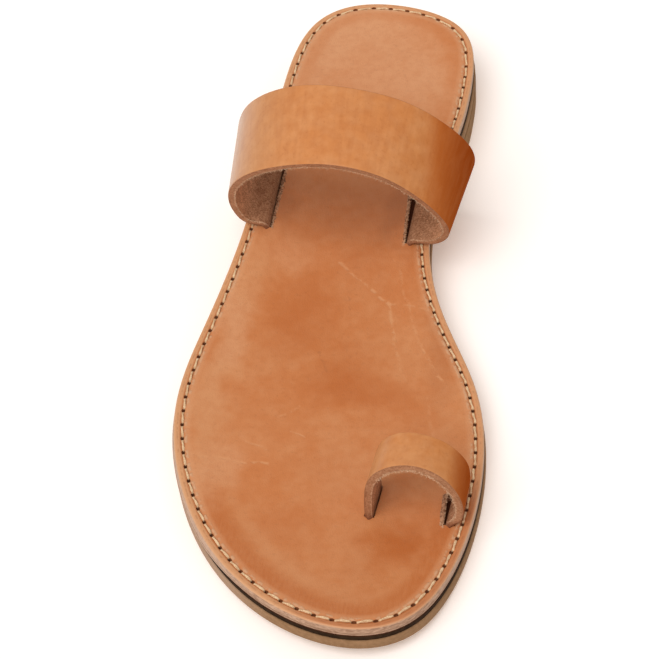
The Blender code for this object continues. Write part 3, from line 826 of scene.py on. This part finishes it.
# %% Helpers for meshes
SMOOTH_DEG = 38.0
BEVEL_DEG = 55.0


def pick(piece):
    """Make a piece the active one and the only one selected."""
    deselect_all()
    piece.select_set(True)
    bpy.context.view_layer.objects.active = piece


def edit_all():
    """Enter edit mode with the whole of the active piece selected."""
    bpy.ops.object.mode_set(mode="EDIT")
    bpy.ops.mesh.select_all(action="SELECT")


def close_edit():
    """Turn all faces outwards and leave edit mode."""
    bpy.ops.mesh.select_all(action="SELECT")
    bpy.ops.mesh.normals_make_consistent(inside=False)
    bpy.ops.object.mode_set(mode="OBJECT")


def points_of(piece):
    """The piece's points as an array in its own units."""
    points = np.empty(len(piece.data.vertices) * 3)
    piece.data.vertices.foreach_get("co", points)
    return points.reshape(-1, 3)


def move_points(piece, points):
    piece.data.vertices.foreach_set("co", np.ascontiguousarray(points).ravel())
    piece.data.update()


def apply_all(piece):
    """Apply the piece's modifiers in order."""
    pick(piece)
    for modifier in list(piece.modifiers):
        bpy.ops.object.modifier_apply(modifier=modifier.name)


def round_edges(piece, width, segments):
    """Round the piece's sharp edges to a width in mm."""
    bevel = piece.modifiers.new("rounded", "BEVEL")
    bevel.width = width * MM
    bevel.segments = segments
    bevel.limit_method = "ANGLE"
    bevel.angle_limit = math.radians(BEVEL_DEG)
    apply_all(piece)


def shade_soft(piece):
    pick(piece)
    bpy.ops.object.shade_smooth_by_angle(angle=math.radians(SMOOTH_DEG))


def paint_by_slope(piece, upper, lower, steepest):
    """Give faces that look up one finish, and steeper faces the other."""
    piece.data.materials.append(upper)
    piece.data.materials.append(lower)
    for face in piece.data.polygons:
        face.material_index = int(face.normal.z < steepest)


def count_triangles(piece):
    return sum(len(face.vertices) - 2 for face in piece.data.polygons)


def keep_values(piece, name, values):
    """Store one value for each point, for the finishes to read."""
    layer = piece.data.attributes.new(name, "FLOAT", "POINT")
    layer.data.foreach_set("value", values)


print("mesh helpers ready")

# %% Sole blank
RING_ZONE = 5.0
RING_RADIUS = 0.8
BLANK_PER_MM = (1.0 - RING_RADIUS) / RING_ZONE
RING_MARGIN = 0.002
WAIST_CENTRE = np.array((-4.0, 20.0))
SLANT_STARTS, SLANT_FULL, SLANT_EBBS, SLANT_ENDS = 0.27, 0.35, 0.40, 0.45  # shares of the way round


def sole_blank(name, rim_count, insets, inner_radii):
    """Closed round blank with a ring at each inset in mm, and a grid inside the last ring."""
    deselect_all()
    bpy.ops.mesh.primitive_circle_add(vertices=rim_count, radius=1.0, fill_type="NGON")
    blank = bpy.context.object
    blank.name = blank.data.name = name
    edit_all()
    before = 1.0
    for radius in [1.0 - inset * BLANK_PER_MM for inset in insets] + list(inner_radii):
        bpy.ops.mesh.inset(thickness=before - radius, use_even_offset=True)
        before = radius
    bpy.ops.mesh.delete(type="ONLY_FACE")
    bpy.ops.object.mode_set(mode="OBJECT")
    for vertex in blank.data.vertices:
        vertex.select = vertex.co.length < before + RING_MARGIN
    for edge in blank.data.edges:
        edge.select = all(blank.data.vertices[index].select for index in edge.vertices)
    bpy.ops.object.mode_set(mode="EDIT")
    bpy.ops.mesh.select_mode(type="EDGE")
    bpy.ops.mesh.fill_grid(span=rim_count // 4)
    bpy.ops.mesh.select_all(action="SELECT")
    bpy.ops.mesh.extrude_region_move(TRANSFORM_OT_translate={"value": (0.0, 0.0, -1.0)})
    close_edit()
    return blank


def cast_sole(blank, flare, top, bottom, slant=0.0):
    """Cast a blank onto the last; top and bottom give heights in mm from along and inset.

    The slant in mm moves the foot of its edge further out at the little toe.
    """
    flat = points_of(blank)
    upper = flat[:, 2] > -0.5
    radius = np.hypot(flat[:, 0], flat[:, 1])
    share = np.arctan2(-flat[:, 0], flat[:, 1]) / (2.0 * math.pi)
    inset = np.minimum((1.0 - radius) / BLANK_PER_MM, RING_ZONE)
    at_little_toe = (smoothstep((share - SLANT_STARTS) / (SLANT_FULL - SLANT_STARTS))
                     * smoothstep((SLANT_ENDS - share) / (SLANT_ENDS - SLANT_EBBS)))
    lean = np.where(upper, 0.0, slant) * at_little_toe
    plan = rim_at(share, flare + lean - inset)
    shrink = np.minimum(radius / RING_RADIUS, 1.0)[:, None]
    plan = WAIST_CENTRE + (plan - WAIST_CENTRE) * shrink
    inner = radius < RING_RADIUS - RING_MARGIN
    inset[inner] = rim_distance(plan[inner])
    height = np.where(upper, top(plan[:, 1], inset), bottom(plan[:, 1], inset))
    move_points(blank, np.column_stack([plan, height]) * MM)


print("blank rings end", RING_ZONE, "mm inside the rim")

# %% [markdown]
# ## Tread, heel and dark layer
# The tread is a sheet of crepe that follows the arch. The dark layer lies on it, and the heel is
# a thick sheet cut straight across at the breast, with one bisect of a full sole-shaped slab.
# The layers are drawn a hair thicker than their solids, so the glue lines close. At the little
# toe the footbed's edge is trimmed with a slant and hangs over them.

# %% Tread, heel and dark layer
SHEET_RIM = 240
SHEET_INSETS = (1.2, 2.8, 5.0)
SHEET_RADII = (0.68, 0.52)
MIDSOLE_FLARE = 0.0
OUTSOLE_FLARE = 0.45
HEEL_FLARE = 0.6
GLUE_FILL = GLUE_GAP - GLUE_LEFT
RUBBER_ROUND = 0.5
DARK_ROUND = 0.2
SLOT_FLOOR_SLOPE = 0.9


def level_at(base):
    return lambda along, inset: underside(along) + base


def flat_at(height):
    return lambda along, inset: np.full_like(along, height)


tread = sole_blank("tread", SHEET_RIM, SHEET_INSETS, SHEET_RADII)
cast_sole(tread, OUTSOLE_FLARE, level_at(OUTSOLE_THICKNESS), level_at(0.0))
round_edges(tread, RUBBER_ROUND, 3)
tread.data.materials.append(tread_rubber)

dark_sheet = sole_blank("dark_sheet", SHEET_RIM, SHEET_INSETS, SHEET_RADII)
cast_sole(dark_sheet, MIDSOLE_FLARE, level_at(INSOLE_BASE - GLUE_LEFT),
          level_at(MIDSOLE_BASE - GLUE_FILL))
round_edges(dark_sheet, DARK_ROUND, 2)
# The dark layer's top, seen only down the slots, wears their painted maroon shade.
paint_by_slope(dark_sheet, slot_shade_floor, dark_layer, SLOT_FLOOR_SLOPE)

heel_block = sole_blank("heel_block", SHEET_RIM, SHEET_INSETS, SHEET_RADII)
cast_sole(heel_block, HEEL_FLARE, flat_at(HEEL_LIFT - GLUE_LEFT), flat_at(0.0))
edit_all()
bpy.ops.mesh.bisect(plane_co=(0.0, HEEL_BREAST_ALONG * MM, 0.0), plane_no=(0.0, 1.0, 0.0),
                    use_fill=True, clear_inner=True)
bpy.ops.object.mode_set(mode="OBJECT")
round_edges(heel_block, RUBBER_ROUND, 3)
heel_block.data.materials.append(heel_crepe)
for piece in (tread, dark_sheet, heel_block):
    shade_soft(piece)
    print(piece.name, "triangles:", count_triangles(piece))

# %% [markdown]
# ## Footbed
# The leather footbed gets many rings near its rim, so the thread's channel and the pressed dish
# are real shape. Four slots for the bands are cut with boxes, and an awl punches a hole for
# every stitch. Cutter faces bring their own finish: raw leather in the slots, painted shade in the
# holes. The seam is sewn by hand: the stitches are short at the waist and long round heel and toe.

# %% Footbed sheet
TRIM_SLANT = 0.8
STITCH_PITCH = 5.1
STITCH_RUNS = (  # mm along the rim, stitches in the run; from the heel by the little toe
    (26.5, 4), (27.5, 5), (89.5, 19), (136, 26), (31, 5), (96.5, 19), (29.5, 7), (55, 12), (25.5, 5),
    (29, 4), (23.5, 4),
)
FIRST_HOLE = 2.7
FOOTBED_INSETS = (0.8, 1.3, 1.6, 1.9, 2.2, 2.5, 2.8, 3.1, 3.9, 5.0)
FOOTBED_RADII = (0.76, 0.71, 0.65, 0.58, 0.50)
RIM_PER_STITCH = 4
FOOTBED_ROUND = 0.6
GRAIN_SLOPE = 0.55
seam_points = rim_at(np.linspace(0.0, 1.0, OUTLINE_SAMPLES), -SEAM_INSET)
seam_length = float(np.linalg.norm(np.diff(seam_points, axis=0), axis=1).sum())
run_ends = np.cumsum([FIRST_HOLE] + [length for length, count in STITCH_RUNS])
run_numbers = np.cumsum([0] + [count for length, count in STITCH_RUNS])
stitch_count = int(run_numbers[-1])

footbed = sole_blank("footbed", RIM_PER_STITCH * stitch_count, FOOTBED_INSETS, FOOTBED_RADII)
cast_sole(footbed, 0.0, footbed_top, level_at(INSOLE_BASE), TRIM_SLANT)
round_edges(footbed, FOOTBED_ROUND, 4)
paint_by_slope(footbed, footbed_leather, footbed_edge, GRAIN_SLOPE)
print("stitches:", stitch_count, "round a seam of", round(seam_length, 1), "mm")

# %% Slots in the footbed
SLOT_GRAIN_PLAY = 0.3
SLOT_END_PLAY = -0.25
SLOT_TALL = 10.0
RAG_CUTS = 60
RAG = 0.14
fray = np.random.RandomState(13)


def cut_with(piece, cutter):
    """Subtract a cutter from a piece and throw the cutter away."""
    knife = piece.modifiers.new(cutter.name, "BOOLEAN")
    knife.operation = "DIFFERENCE"
    knife.solver = "EXACT"
    knife.material_mode = "TRANSFER"
    knife.object = cutter
    apply_all(piece)
    bpy.data.objects.remove(cutter, do_unlink=True)


def place_copies(model, name, places):
    """Copy a model to each place, every copy with its own mesh, and join them into one piece."""
    deselect_all()
    for matrix in places:
        copy = model.copy()
        copy.data = model.data.copy()
        copy.data.transform(matrix)
        bpy.context.collection.objects.link(copy)
        copy.select_set(True)
        bpy.context.view_layer.objects.active = copy
    bpy.ops.object.join()
    joined = bpy.context.object
    joined.name = joined.data.name = name
    bpy.data.objects.remove(model, do_unlink=True)
    return joined


def slot_cutter(thickness, slot):
    """Box for one slot: straight on the band's grain side, torn and tapering on its flesh side."""
    deselect_all()
    bpy.ops.mesh.primitive_grid_add(x_subdivisions=1, y_subdivisions=RAG_CUTS, size=1.0)
    box = bpy.context.object
    box.name = "slot_cutter"
    edit_all()
    bpy.ops.mesh.extrude_region_move(TRANSFORM_OT_translate={"value": (0.0, 0.0, 1.0)})
    close_edit()
    unit = points_of(box)
    run = Vector((slot.rear_across - slot.front_across, slot.rear_along - slot.front_along))
    play = slot.front_play + (slot.rear_play - slot.front_play) * (unit[:, 1] + 0.5)
    play = play + fray.uniform(-RAG, RAG, len(unit))
    torn_side = slot.flesh_side * (thickness / 2.0 + play)
    grain_side = -slot.flesh_side * (thickness / 2.0 + SLOT_GRAIN_PLAY)
    across = np.where(unit[:, 0] * slot.flesh_side > 0.0, torn_side, grain_side)
    along = unit[:, 1] * (run.length + 2.0 * SLOT_END_PLAY)
    move_points(box, np.column_stack([across, along, (unit[:, 2] - 0.5) * SLOT_TALL]) * MM)
    middle_along = (slot.front_along + slot.rear_along) / 2.0
    middle = Vector(((slot.front_across + slot.rear_across) / 2.0, middle_along,
                     float(underside(middle_along)) + FOOTBED))
    box.data.transform(Matrix.Translation(middle * MM)
                       @ Matrix.Rotation(-math.atan2(run.x, run.y), 4, "Z"))
    box.data.materials.append(slot_wall)
    return box


for thickness, slot in ALL_SLOTS:
    cut_with(footbed, slot_cutter(thickness, slot))
print("footbed triangles with slots:", count_triangles(footbed))

# %% Awl holes
AWL_RADIUS = 0.54
AWL_STRETCH = 1.45
AWL_DEPTH = 1.1
AWL_SIDES = 12
hole_shares = np.interp(np.arange(stitch_count), run_numbers, run_ends) / (run_ends[-1] - FIRST_HOLE)
hole_plan = rim_at(hole_shares, -SEAM_INSET)
holes = np.column_stack([hole_plan, footbed_top(hole_plan[:, 1], np.full(stitch_count, SEAM_INSET))])
seam_ways = np.roll(hole_plan, -1, axis=0) - np.roll(hole_plan, 1, axis=0)
seam_turns = np.arctan2(seam_ways[:, 1], seam_ways[:, 0])
deselect_all()
bpy.ops.mesh.primitive_cylinder_add(vertices=AWL_SIDES, radius=AWL_RADIUS * MM,
                                    depth=2.0 * AWL_DEPTH * MM)
awl = bpy.context.object
awl.data.materials.append(awl_hole_shade)
stretch = Matrix.Diagonal((AWL_STRETCH, 1.0, 1.0, 1.0))
awl_points = place_copies(awl, "awl_points", [
    Matrix.Translation(Vector(hole) * MM) @ Matrix.Rotation(turn, 4, "Z") @ stretch
    for hole, turn in zip(holes, seam_turns)])
cut_with(footbed, awl_points)

footbed_points = points_of(footbed) / MM
keep_values(footbed, "inset", rim_distance(footbed_points))
keep_values(footbed, "level", footbed_points[:, 2] - underside(footbed_points[:, 1]) - INSOLE_BASE)
shade_soft(footbed)
print("footbed triangles:", count_triangles(footbed), "finishes:",
      [material.name for material in footbed.data.materials])

# %% [markdown]
# ## Torn lips
# Beside three of the slots the knife has lifted the grain into a ragged lip. Each lip is a small
# grid, humped over the slot's edge with a seeded wobble and given a thickness.

# %% Torn lips
Lip = namedtuple("Lip", "thickness slot width height rag overhang")
LIPS = (Lip(STRAP_THICKNESS, STRAP_SLOTS[0], 1.2, 0.50, 0.24, 0.55),
        Lip(STRAP_THICKNESS, STRAP_SLOTS[1], 1.6, 0.40, 0.09, 0.35),
        Lip(LOOP_THICKNESS, LOOP_SLOTS[1], 1.9, 0.55, 0.07, 0.35))
LIP_STEPS = 64
LIP_LANES = 6
LIP_WAVES = 8
LIP_SWING = (0.8, 1.1)
LIP_SUNK = 0.12
LIP_TURN_DOWN = 0.5
LIP_WALL = 0.3


def torn_lip(row):
    """Ragged lip along the flesh-side wall of a slot, which it overhangs."""
    deselect_all()
    bpy.ops.mesh.primitive_grid_add(x_subdivisions=LIP_STEPS, y_subdivisions=LIP_LANES, size=1.0)
    lip = bpy.context.object
    unit = points_of(lip) + 0.5
    way, off = unit[:, 0], unit[:, 1]
    front, rear = (np.array(end) for end in flesh_wall(row.thickness, row.slot))
    swell = np.sin(math.pi * way) ** 0.5
    wobble = np.interp(way, np.linspace(0.0, 1.0, LIP_WAVES), fray.uniform(*LIP_SWING, LIP_WAVES))
    plan = front + (rear - front) * way[:, None]
    stray = fray.uniform(-row.rag, row.rag, len(unit))
    plan[:, 0] += row.slot.flesh_side * (off * row.width * wobble - row.overhang) + stray
    base = footbed_top(plan[:, 1], rim_distance(plan))
    hump = row.height * wobble * swell * np.sin(math.pi * np.clip(off * 1.1 + 0.12, 0.0, 1.0))
    stray = fray.uniform(-row.rag, row.rag, len(unit))
    rise = hump - LIP_SUNK - LIP_TURN_DOWN * (off < 0.01) + stray
    move_points(lip, np.column_stack([plan, base + rise]) * MM)
    if sum(face.normal.z for face in lip.data.polygons) < 0.0:
        edit_all()
        bpy.ops.mesh.flip_normals()
        bpy.ops.object.mode_set(mode="OBJECT")
    wall = lip.modifiers.new("wall", "SOLIDIFY")
    wall.thickness = LIP_WALL * MM
    wall.offset = -1.0
    apply_all(lip)
    lip.data.materials.append(lip_fibre)
    return lip


lip_pieces = [torn_lip(row) for row in LIPS]
torn_lips = lip_pieces[-1]
pick(torn_lips)
for lip in lip_pieces:
    lip.select_set(True)
bpy.ops.object.join()
torn_lips.name = torn_lips.data.name = "torn_lips"
shade_soft(torn_lips)
print("lip triangles:", count_triangles(torn_lips))

# %% [markdown]
# ## Seam thread
# The seam is a waxed two-ply thread. One stitch is modelled: a flattened circle is extruded step
# by step from hole to hole and turned a little at each step, so its two plies wind round each
# other. Copies are set between neighbouring holes with a small slant, as a hand-sewn seam has,
# and a small seeded wander.

# %% One stitch
THREAD_RADIUS = 0.38
THREAD_SIDES = 8
PLY_SQUEEZE = 0.72
PLY_TURN_DEG = 38.0
THREAD_SIT = 0.20
THREAD_DIVE = 0.6
STITCH_PATH = (  # along the stitch as a share of its length, height in mm
    (-0.385, -1.00), (-0.375, -0.50), (-0.35, -0.16), (-0.30, -0.01), (-0.20, 0.05), (-0.07, 0.08),
    (0.07, 0.08), (0.20, 0.05), (0.30, -0.01), (0.35, -0.16), (0.375, -0.50), (0.385, -1.00),
)

deselect_all()
first_share, first_height = STITCH_PATH[0]
centre = Vector((first_share * STITCH_PITCH, 0.0, first_height)) * MM
bpy.ops.mesh.primitive_circle_add(vertices=THREAD_SIDES, radius=THREAD_RADIUS * MM,
                                  fill_type="NGON", location=centre,
                                  rotation=(0.0, math.radians(90.0), 0.0))
stitch = bpy.context.object
stitch.data.materials.append(waxed_thread)
bpy.ops.object.transform_apply(location=True, rotation=True, scale=True)
edit_all()
bpy.ops.transform.resize(value=(1.0, PLY_SQUEEZE, 1.0), center_override=centre)
for share, height in STITCH_PATH[1:]:
    target = Vector((share * STITCH_PITCH, 0.0, height)) * MM
    bpy.ops.mesh.extrude_region_move(TRANSFORM_OT_translate={"value": target - centre})
    centre = target
    bpy.ops.transform.rotate(value=math.radians(PLY_TURN_DEG), orient_axis="X",
                             center_override=centre)
close_edit()
# This height drives the thread's painted shade in the holes.
keep_values(stitch, "rise", points_of(stitch)[:, 2] / MM + THREAD_DIVE)
print("one stitch has", count_triangles(stitch), "triangles")

# %% Seam thread
STITCH_SLANT_DEG = 3.5
SLANT_STRAY_DEG = 2.0
STRAY_UP = 0.04
STRAY_ASIDE = 0.08
wander = np.random.RandomState(7)
stitch_places = []
for this_hole, next_hole in zip(holes, np.roll(holes, -1, axis=0)):
    ahead = Vector(next_hole) - Vector(this_hole)
    side = Vector((0.0, 0.0, 1.0)).cross(ahead).normalized()
    up = ahead.cross(side).normalized()
    middle = (Vector(this_hole) + Vector(next_hole)) / 2.0
    middle += up * (THREAD_SIT + wander.uniform(-STRAY_UP, STRAY_UP))
    middle += side * wander.uniform(-STRAY_ASIDE, STRAY_ASIDE)
    axes = Matrix((ahead / STITCH_PITCH, side, up)).transposed().to_4x4()
    slant = STITCH_SLANT_DEG + wander.uniform(-SLANT_STRAY_DEG, SLANT_STRAY_DEG)
    turn = Matrix.Rotation(math.radians(slant), 4, "Z")
    stitch_places.append(Matrix.Translation(middle * MM) @ axes @ turn)
seam_thread = place_copies(stitch, "seam_thread", stitch_places)
shade_soft(seam_thread)
print("seam triangles:", count_triangles(seam_thread))

# %% [markdown]
# ## Bands
# The strap and the toe loop are straight bands of leather that come up through the footbed, lie
# down on it for a moment and arch over the foot. Each is described by its folds: where the front
# and the rear edge run at every bend. A flat grid is laid along those folds and extruded along
# its normals twice, half a thickness each time, so the cut edge has a middle line. Where the
# slot squeezes the band, that line is pushed out and the corners are drawn in. A small bevel
# breaks the edges, and grain, flesh and cut edge get their own finishes by depth.

# %% Folds of the bands
STEP_RISE = 2.0
STRAP_LEAN = -0.33
LOOP_LEAN = -0.03
STRAP_FOLDS = (  # front across, front rise, rear across, rear rise
    (-28.2, -2.9, -27.2, -2.9), (-28.2, -0.2, -27.2, -0.2), (-28.7, 0.4, -27.7, 0.4),
    (-30.3, 0.6, -29.5, 0.6), (-33.2, 1.8, -32.7, 1.8), (-35.5, 6.0, -35.7, 5.8),
    (-36.6, 13.0, -37.2, 12.8), (-35.5, 20.2, -36.3, 20.5), (-30.6, 28.4, -32.4, 31.1),
    (-18.0, 37.0, -19.2, 43.2), (-2.4, 40.6, -2.8, 46.5), (9.7, 37.5, 12.0, 43.4),
    (20.9, 26.8, 25.0, 33.5), (26.4, 17.1, 32.0, 23.1), (27.9, 9.9, 33.6, 14.4),
    (26.0, 4.6, 31.4, 7.0), (22.2, 1.5, 26.0, 2.6), (18.9, 0.6, 20.9, 0.7),
    (17.3, 0.4, 19.3, 0.4), (16.8, -0.2, 18.8, -0.2), (16.8, -2.9, 18.8, -2.9),
)
LOOP_FOLDS = (
    (13.4, -2.8, 14.6, -2.8), (13.4, 1.5, 14.6, 1.5), (13.7, 9.7, 15.2, 10.0),
    (15.4, 17.0, 16.9, 17.5), (20.1, 22.0, 20.9, 22.2), (26.2, 23.8, 26.4, 23.6),
    (31.9, 22.1, 32.4, 22.1), (36.4, 17.5, 37.2, 18.2), (39.1, 11.6, 40.2, 12.6),
    (39.7, 6.8, 40.6, 7.4), (39.2, 3.4, 40.2, 3.6), (38.2, 1.4, 39.3, 1.5),
    (37.3, 0.5, 38.5, 0.5), (37.0, -0.3, 38.2, -0.3), (37.0, -2.8, 38.2, -2.8),
)


def band_surface(folds, slots, lean):
    """Grain side of a band in mm: place(position, side), position in folds, side 0 at the front."""
    folds = np.array(folds)
    gap = np.append(0.0, np.cumsum(np.hypot(*np.diff(folds[:, :2], axis=0).T)))
    curves = [cubic_spline(gap, folds[:, column]) for column in range(4)]
    lateral, medial = slots

    def edge(across, rise, first, last):
        base = [footbed_top(point[1], rim_distance([point])[0]) for point in (first, last)]
        share = (across - first[0]) / (last[0] - first[0])
        step = (lateral.step + (medial.step - lateral.step) * share) * smoothstep(rise / STEP_RISE)
        along = first[1] + (last[1] - first[1]) * share - step + lean * np.maximum(rise, 0.0)
        height = base[0] + (base[1] - base[0]) * np.clip(share, 0.0, 1.0) + rise
        return np.stack([across, along, height], axis=-1)

    def place(position, side):
        way = np.interp(position, np.arange(len(gap)), gap)
        front = edge(curves[0](way), curves[1](way), lateral[0:2], medial[0:2])
        rear = edge(curves[2](way), curves[3](way), lateral[2:4], medial[2:4])
        return front + (rear - front) * np.asarray(side)[..., None]

    return place


strap_place = band_surface(STRAP_FOLDS, STRAP_SLOTS, STRAP_LEAN)
loop_place = band_surface(LOOP_FOLDS, LOOP_SLOTS, LOOP_LEAN)
print("folds:", len(STRAP_FOLDS), "in the strap,", len(LOOP_FOLDS), "in the loop")

# %% Strap and loop
SQUEEZE_RISE = 4.0
SQUEEZE = 0.8
CORNER_DRAW = 0.4
FOLD_STEPS = 8
STRAP_LANES = 20
LOOP_LANES = 12
GRAIN_DEPTH = 0.1
FLESH_DEPTH = 0.85
BAND_ROUND = 0.28


def make_band(name, place, fold_count, lanes, thickness, grain_finish):
    """Band of leather along its folds, with its depth below the grain kept for the cut edge."""
    deselect_all()
    bpy.ops.mesh.primitive_grid_add(x_subdivisions=(fold_count - 1) * FOLD_STEPS, y_subdivisions=lanes,
                                    size=2.0)
    band = bpy.context.object
    band.name = band.data.name = name
    sheet = (points_of(band) + 1.0) / 2.0
    grain = place(sheet[:, 0] * (fold_count - 1), sheet[:, 1])
    move_points(band, grain * MM)
    grain_tree = BVHTree.FromPolygons([Vector(point) for point in grain],
                                      [list(face.vertices) for face in band.data.polygons])
    edge_tree = kdtree.KDTree(len(grain))
    for index, point in enumerate(grain):
        edge_tree.insert(point, index)
    edge_tree.balance()
    edit_all()
    for half in range(2):
        bpy.ops.mesh.extrude_region_shrink_fatten(
            TRANSFORM_OT_shrink_fatten={"value": -0.5 * thickness * MM, "use_even_offset": True})
    close_edit()

    def depth_and_rise():
        points = points_of(band) / MM
        below = [grain_tree.find_nearest(Vector(point))[3] / thickness for point in points]
        return points, np.array(below), points[:, 2] - footbed_top(points[:, 1], rim_distance(points))

    points, below, rises = depth_and_rise()
    for finish in (grain_finish, strap_flesh, band_edge):
        band.data.materials.append(finish)
    for face in band.data.polygons:
        depth = below[list(face.vertices)].mean()
        face.material_index = 0 if depth < GRAIN_DEPTH else 1 if depth > FLESH_DEPTH else 2
    side = np.array([sheet[edge_tree.find(point)[1], 1] for point in points])
    outward = np.where(side < 0.01, -1.0, np.where(side > 0.99, 1.0, 0.0))
    share = np.where(np.abs(below - 0.5) < 0.2, SQUEEZE, -CORNER_DRAW * SQUEEZE)
    points[:, 1] += outward * share * (1.0 - smoothstep(rises / SQUEEZE_RISE))
    move_points(band, points * MM)
    round_edges(band, BAND_ROUND, 3)
    points, below, rises = depth_and_rise()
    keep_values(band, "depth", below)
    keep_values(band, "rise", rises)
    shade_soft(band)
    return band


strap = make_band("strap", strap_place, len(STRAP_FOLDS), STRAP_LANES, STRAP_THICKNESS, strap_hide)
loop = make_band("loop", loop_place, len(LOOP_FOLDS), LOOP_LANES, LOOP_THICKNESS, loop_hide)
print("band triangles:", count_triangles(strap), count_triangles(loop))

# %% [markdown]
# ## Loose fibres
# A knife leaves short pale fibres on the flesh-side corner of each band and on the lips of the
# slots. They are tiny tapered tufts: one cone is modelled, then copied along those corners with
# seeded lengths and directions and joined into a single piece.

# %% Places for tufts
TUFT_SPACING = 0.30
TUFT_LENGTH = (0.30, 0.90)
TUFT_LEAN_OUT = (0.25, 0.8)
GUIDE_STEPS = 400


def tuft_places(points, ahead, outward, sink, stout):
    """Places for tufts along a corner: each leans along it and a little out of it."""
    places = []
    for point, way, out in zip(points, ahead, outward):
        lean = Vector(way) * fray.uniform(-1.0, 1.0) + Vector(out) * fray.uniform(*TUFT_LEAN_OUT)
        turn = lean.to_track_quat("Z", "Y").to_matrix().to_4x4()
        length = fray.uniform(*TUFT_LENGTH)
        size = Matrix.Diagonal((stout, stout, length, 1.0))
        at = Vector(point) - Vector(out) * sink
        places.append(Matrix.Translation(at * MM) @ turn @ size)
    return places


def band_corner(place, side, first, last, thickness):
    """Flesh-side corner of a band's edge: points, directions along it and out of it."""
    guide_at = np.linspace(first, last, GUIDE_STEPS)
    guide = place(guide_at, np.full(GUIDE_STEPS, side))
    way = np.append(0.0, np.cumsum(np.linalg.norm(np.diff(guide, axis=0), axis=1)))
    stops = np.arange(0.0, way[-1], TUFT_SPACING)
    position = np.interp(stops, way, guide_at)
    points = place(position, np.full(len(stops), side))
    other = place(position, np.full(len(stops), 1.0 - side))
    ahead = np.gradient(points, axis=0)
    ahead /= np.linalg.norm(ahead, axis=1)[:, None]
    across = (other - points) / np.linalg.norm(other - points, axis=1)[:, None]
    grain_up = np.cross(ahead, across) * (1.0 if side == 0.0 else -1.0)
    return points - grain_up * thickness, ahead, -across * 0.5 - grain_up * 0.5


print("a tuft every", TUFT_SPACING, "mm")

# %% Loose fibres
TUFT_RADIUS = 0.065
TUFT_TIP = 0.012
TUFT_SIDES = 4
BAND_TUFT_SINK = 0.08
SLOT_TUFT_SINK = 0.05
SLOT_TUFT_STOUT = 1.6
SLOT_TUFT_IN, SLOT_TUFT_UP = 0.6, 0.35
SEATED_FOLDS = 3
deselect_all()
bpy.ops.mesh.primitive_cone_add(vertices=TUFT_SIDES, radius1=TUFT_RADIUS * MM,
                                radius2=TUFT_TIP * MM, depth=1.0 * MM,
                                location=(0.0, 0.0, 0.5 * MM))
tuft = bpy.context.object
tuft.data.materials.append(loose_fibre)
bpy.ops.object.transform_apply(location=True, rotation=True, scale=True)
fibre_places = []
for place, folds, thickness in ((strap_place, STRAP_FOLDS, STRAP_THICKNESS),
                                (loop_place, LOOP_FOLDS, LOOP_THICKNESS)):
    for side in (0.0, 1.0):
        corner = band_corner(place, side, SEATED_FOLDS, len(folds) - 1 - SEATED_FOLDS, thickness)
        fibre_places += tuft_places(*corner, BAND_TUFT_SINK, 1.0)
for thickness, slot in ALL_SLOTS:
    if not slot.torn:
        continue
    front, rear = flesh_wall(thickness, slot)
    stops = np.arange(front[1], rear[1], 0.5 * TUFT_SPACING / slot.torn)
    plan = np.column_stack([np.interp(stops, (front[1], rear[1]), (front[0], rear[0])), stops])
    lip = np.column_stack([plan, footbed_top(stops, rim_distance(plan))])
    along_slot = np.tile((0.0, 1.0, 0.0), (len(stops), 1))
    into_slot = np.tile((-SLOT_TUFT_IN * slot.flesh_side, 0.0, SLOT_TUFT_UP), (len(stops), 1))
    fibre_places += tuft_places(lip, along_slot, into_slot, SLOT_TUFT_SINK, SLOT_TUFT_STOUT)
loose_fibres = place_copies(tuft, "loose_fibres", fibre_places)
print("tufts:", len(fibre_places), "triangles:", count_triangles(loose_fibres))

# %% [markdown]
# ## Handing the pieces to the model
# Leather and rubber do not hinge, so the whole sandal is one body. Each piece rides on it and says
# which node it stands for, and that node is hidden.

# %% Pieces and sizes
for piece, node, finish in ((tread, "outsole", "outsole_rubber"), (heel_block, "heel", "heel_rubber"),
                            (dark_sheet, "midsole", "midsole_dark"),
                            (footbed, "insole", "insole_leather"),
                            (strap, "instep_strap", "strap_leather"),
                            (loop, "toe_loop", "loop_leather")):
    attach(piece, "root")
    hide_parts(node)
for piece in (seam_thread, torn_lips, loose_fibres):
    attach(piece, "root")
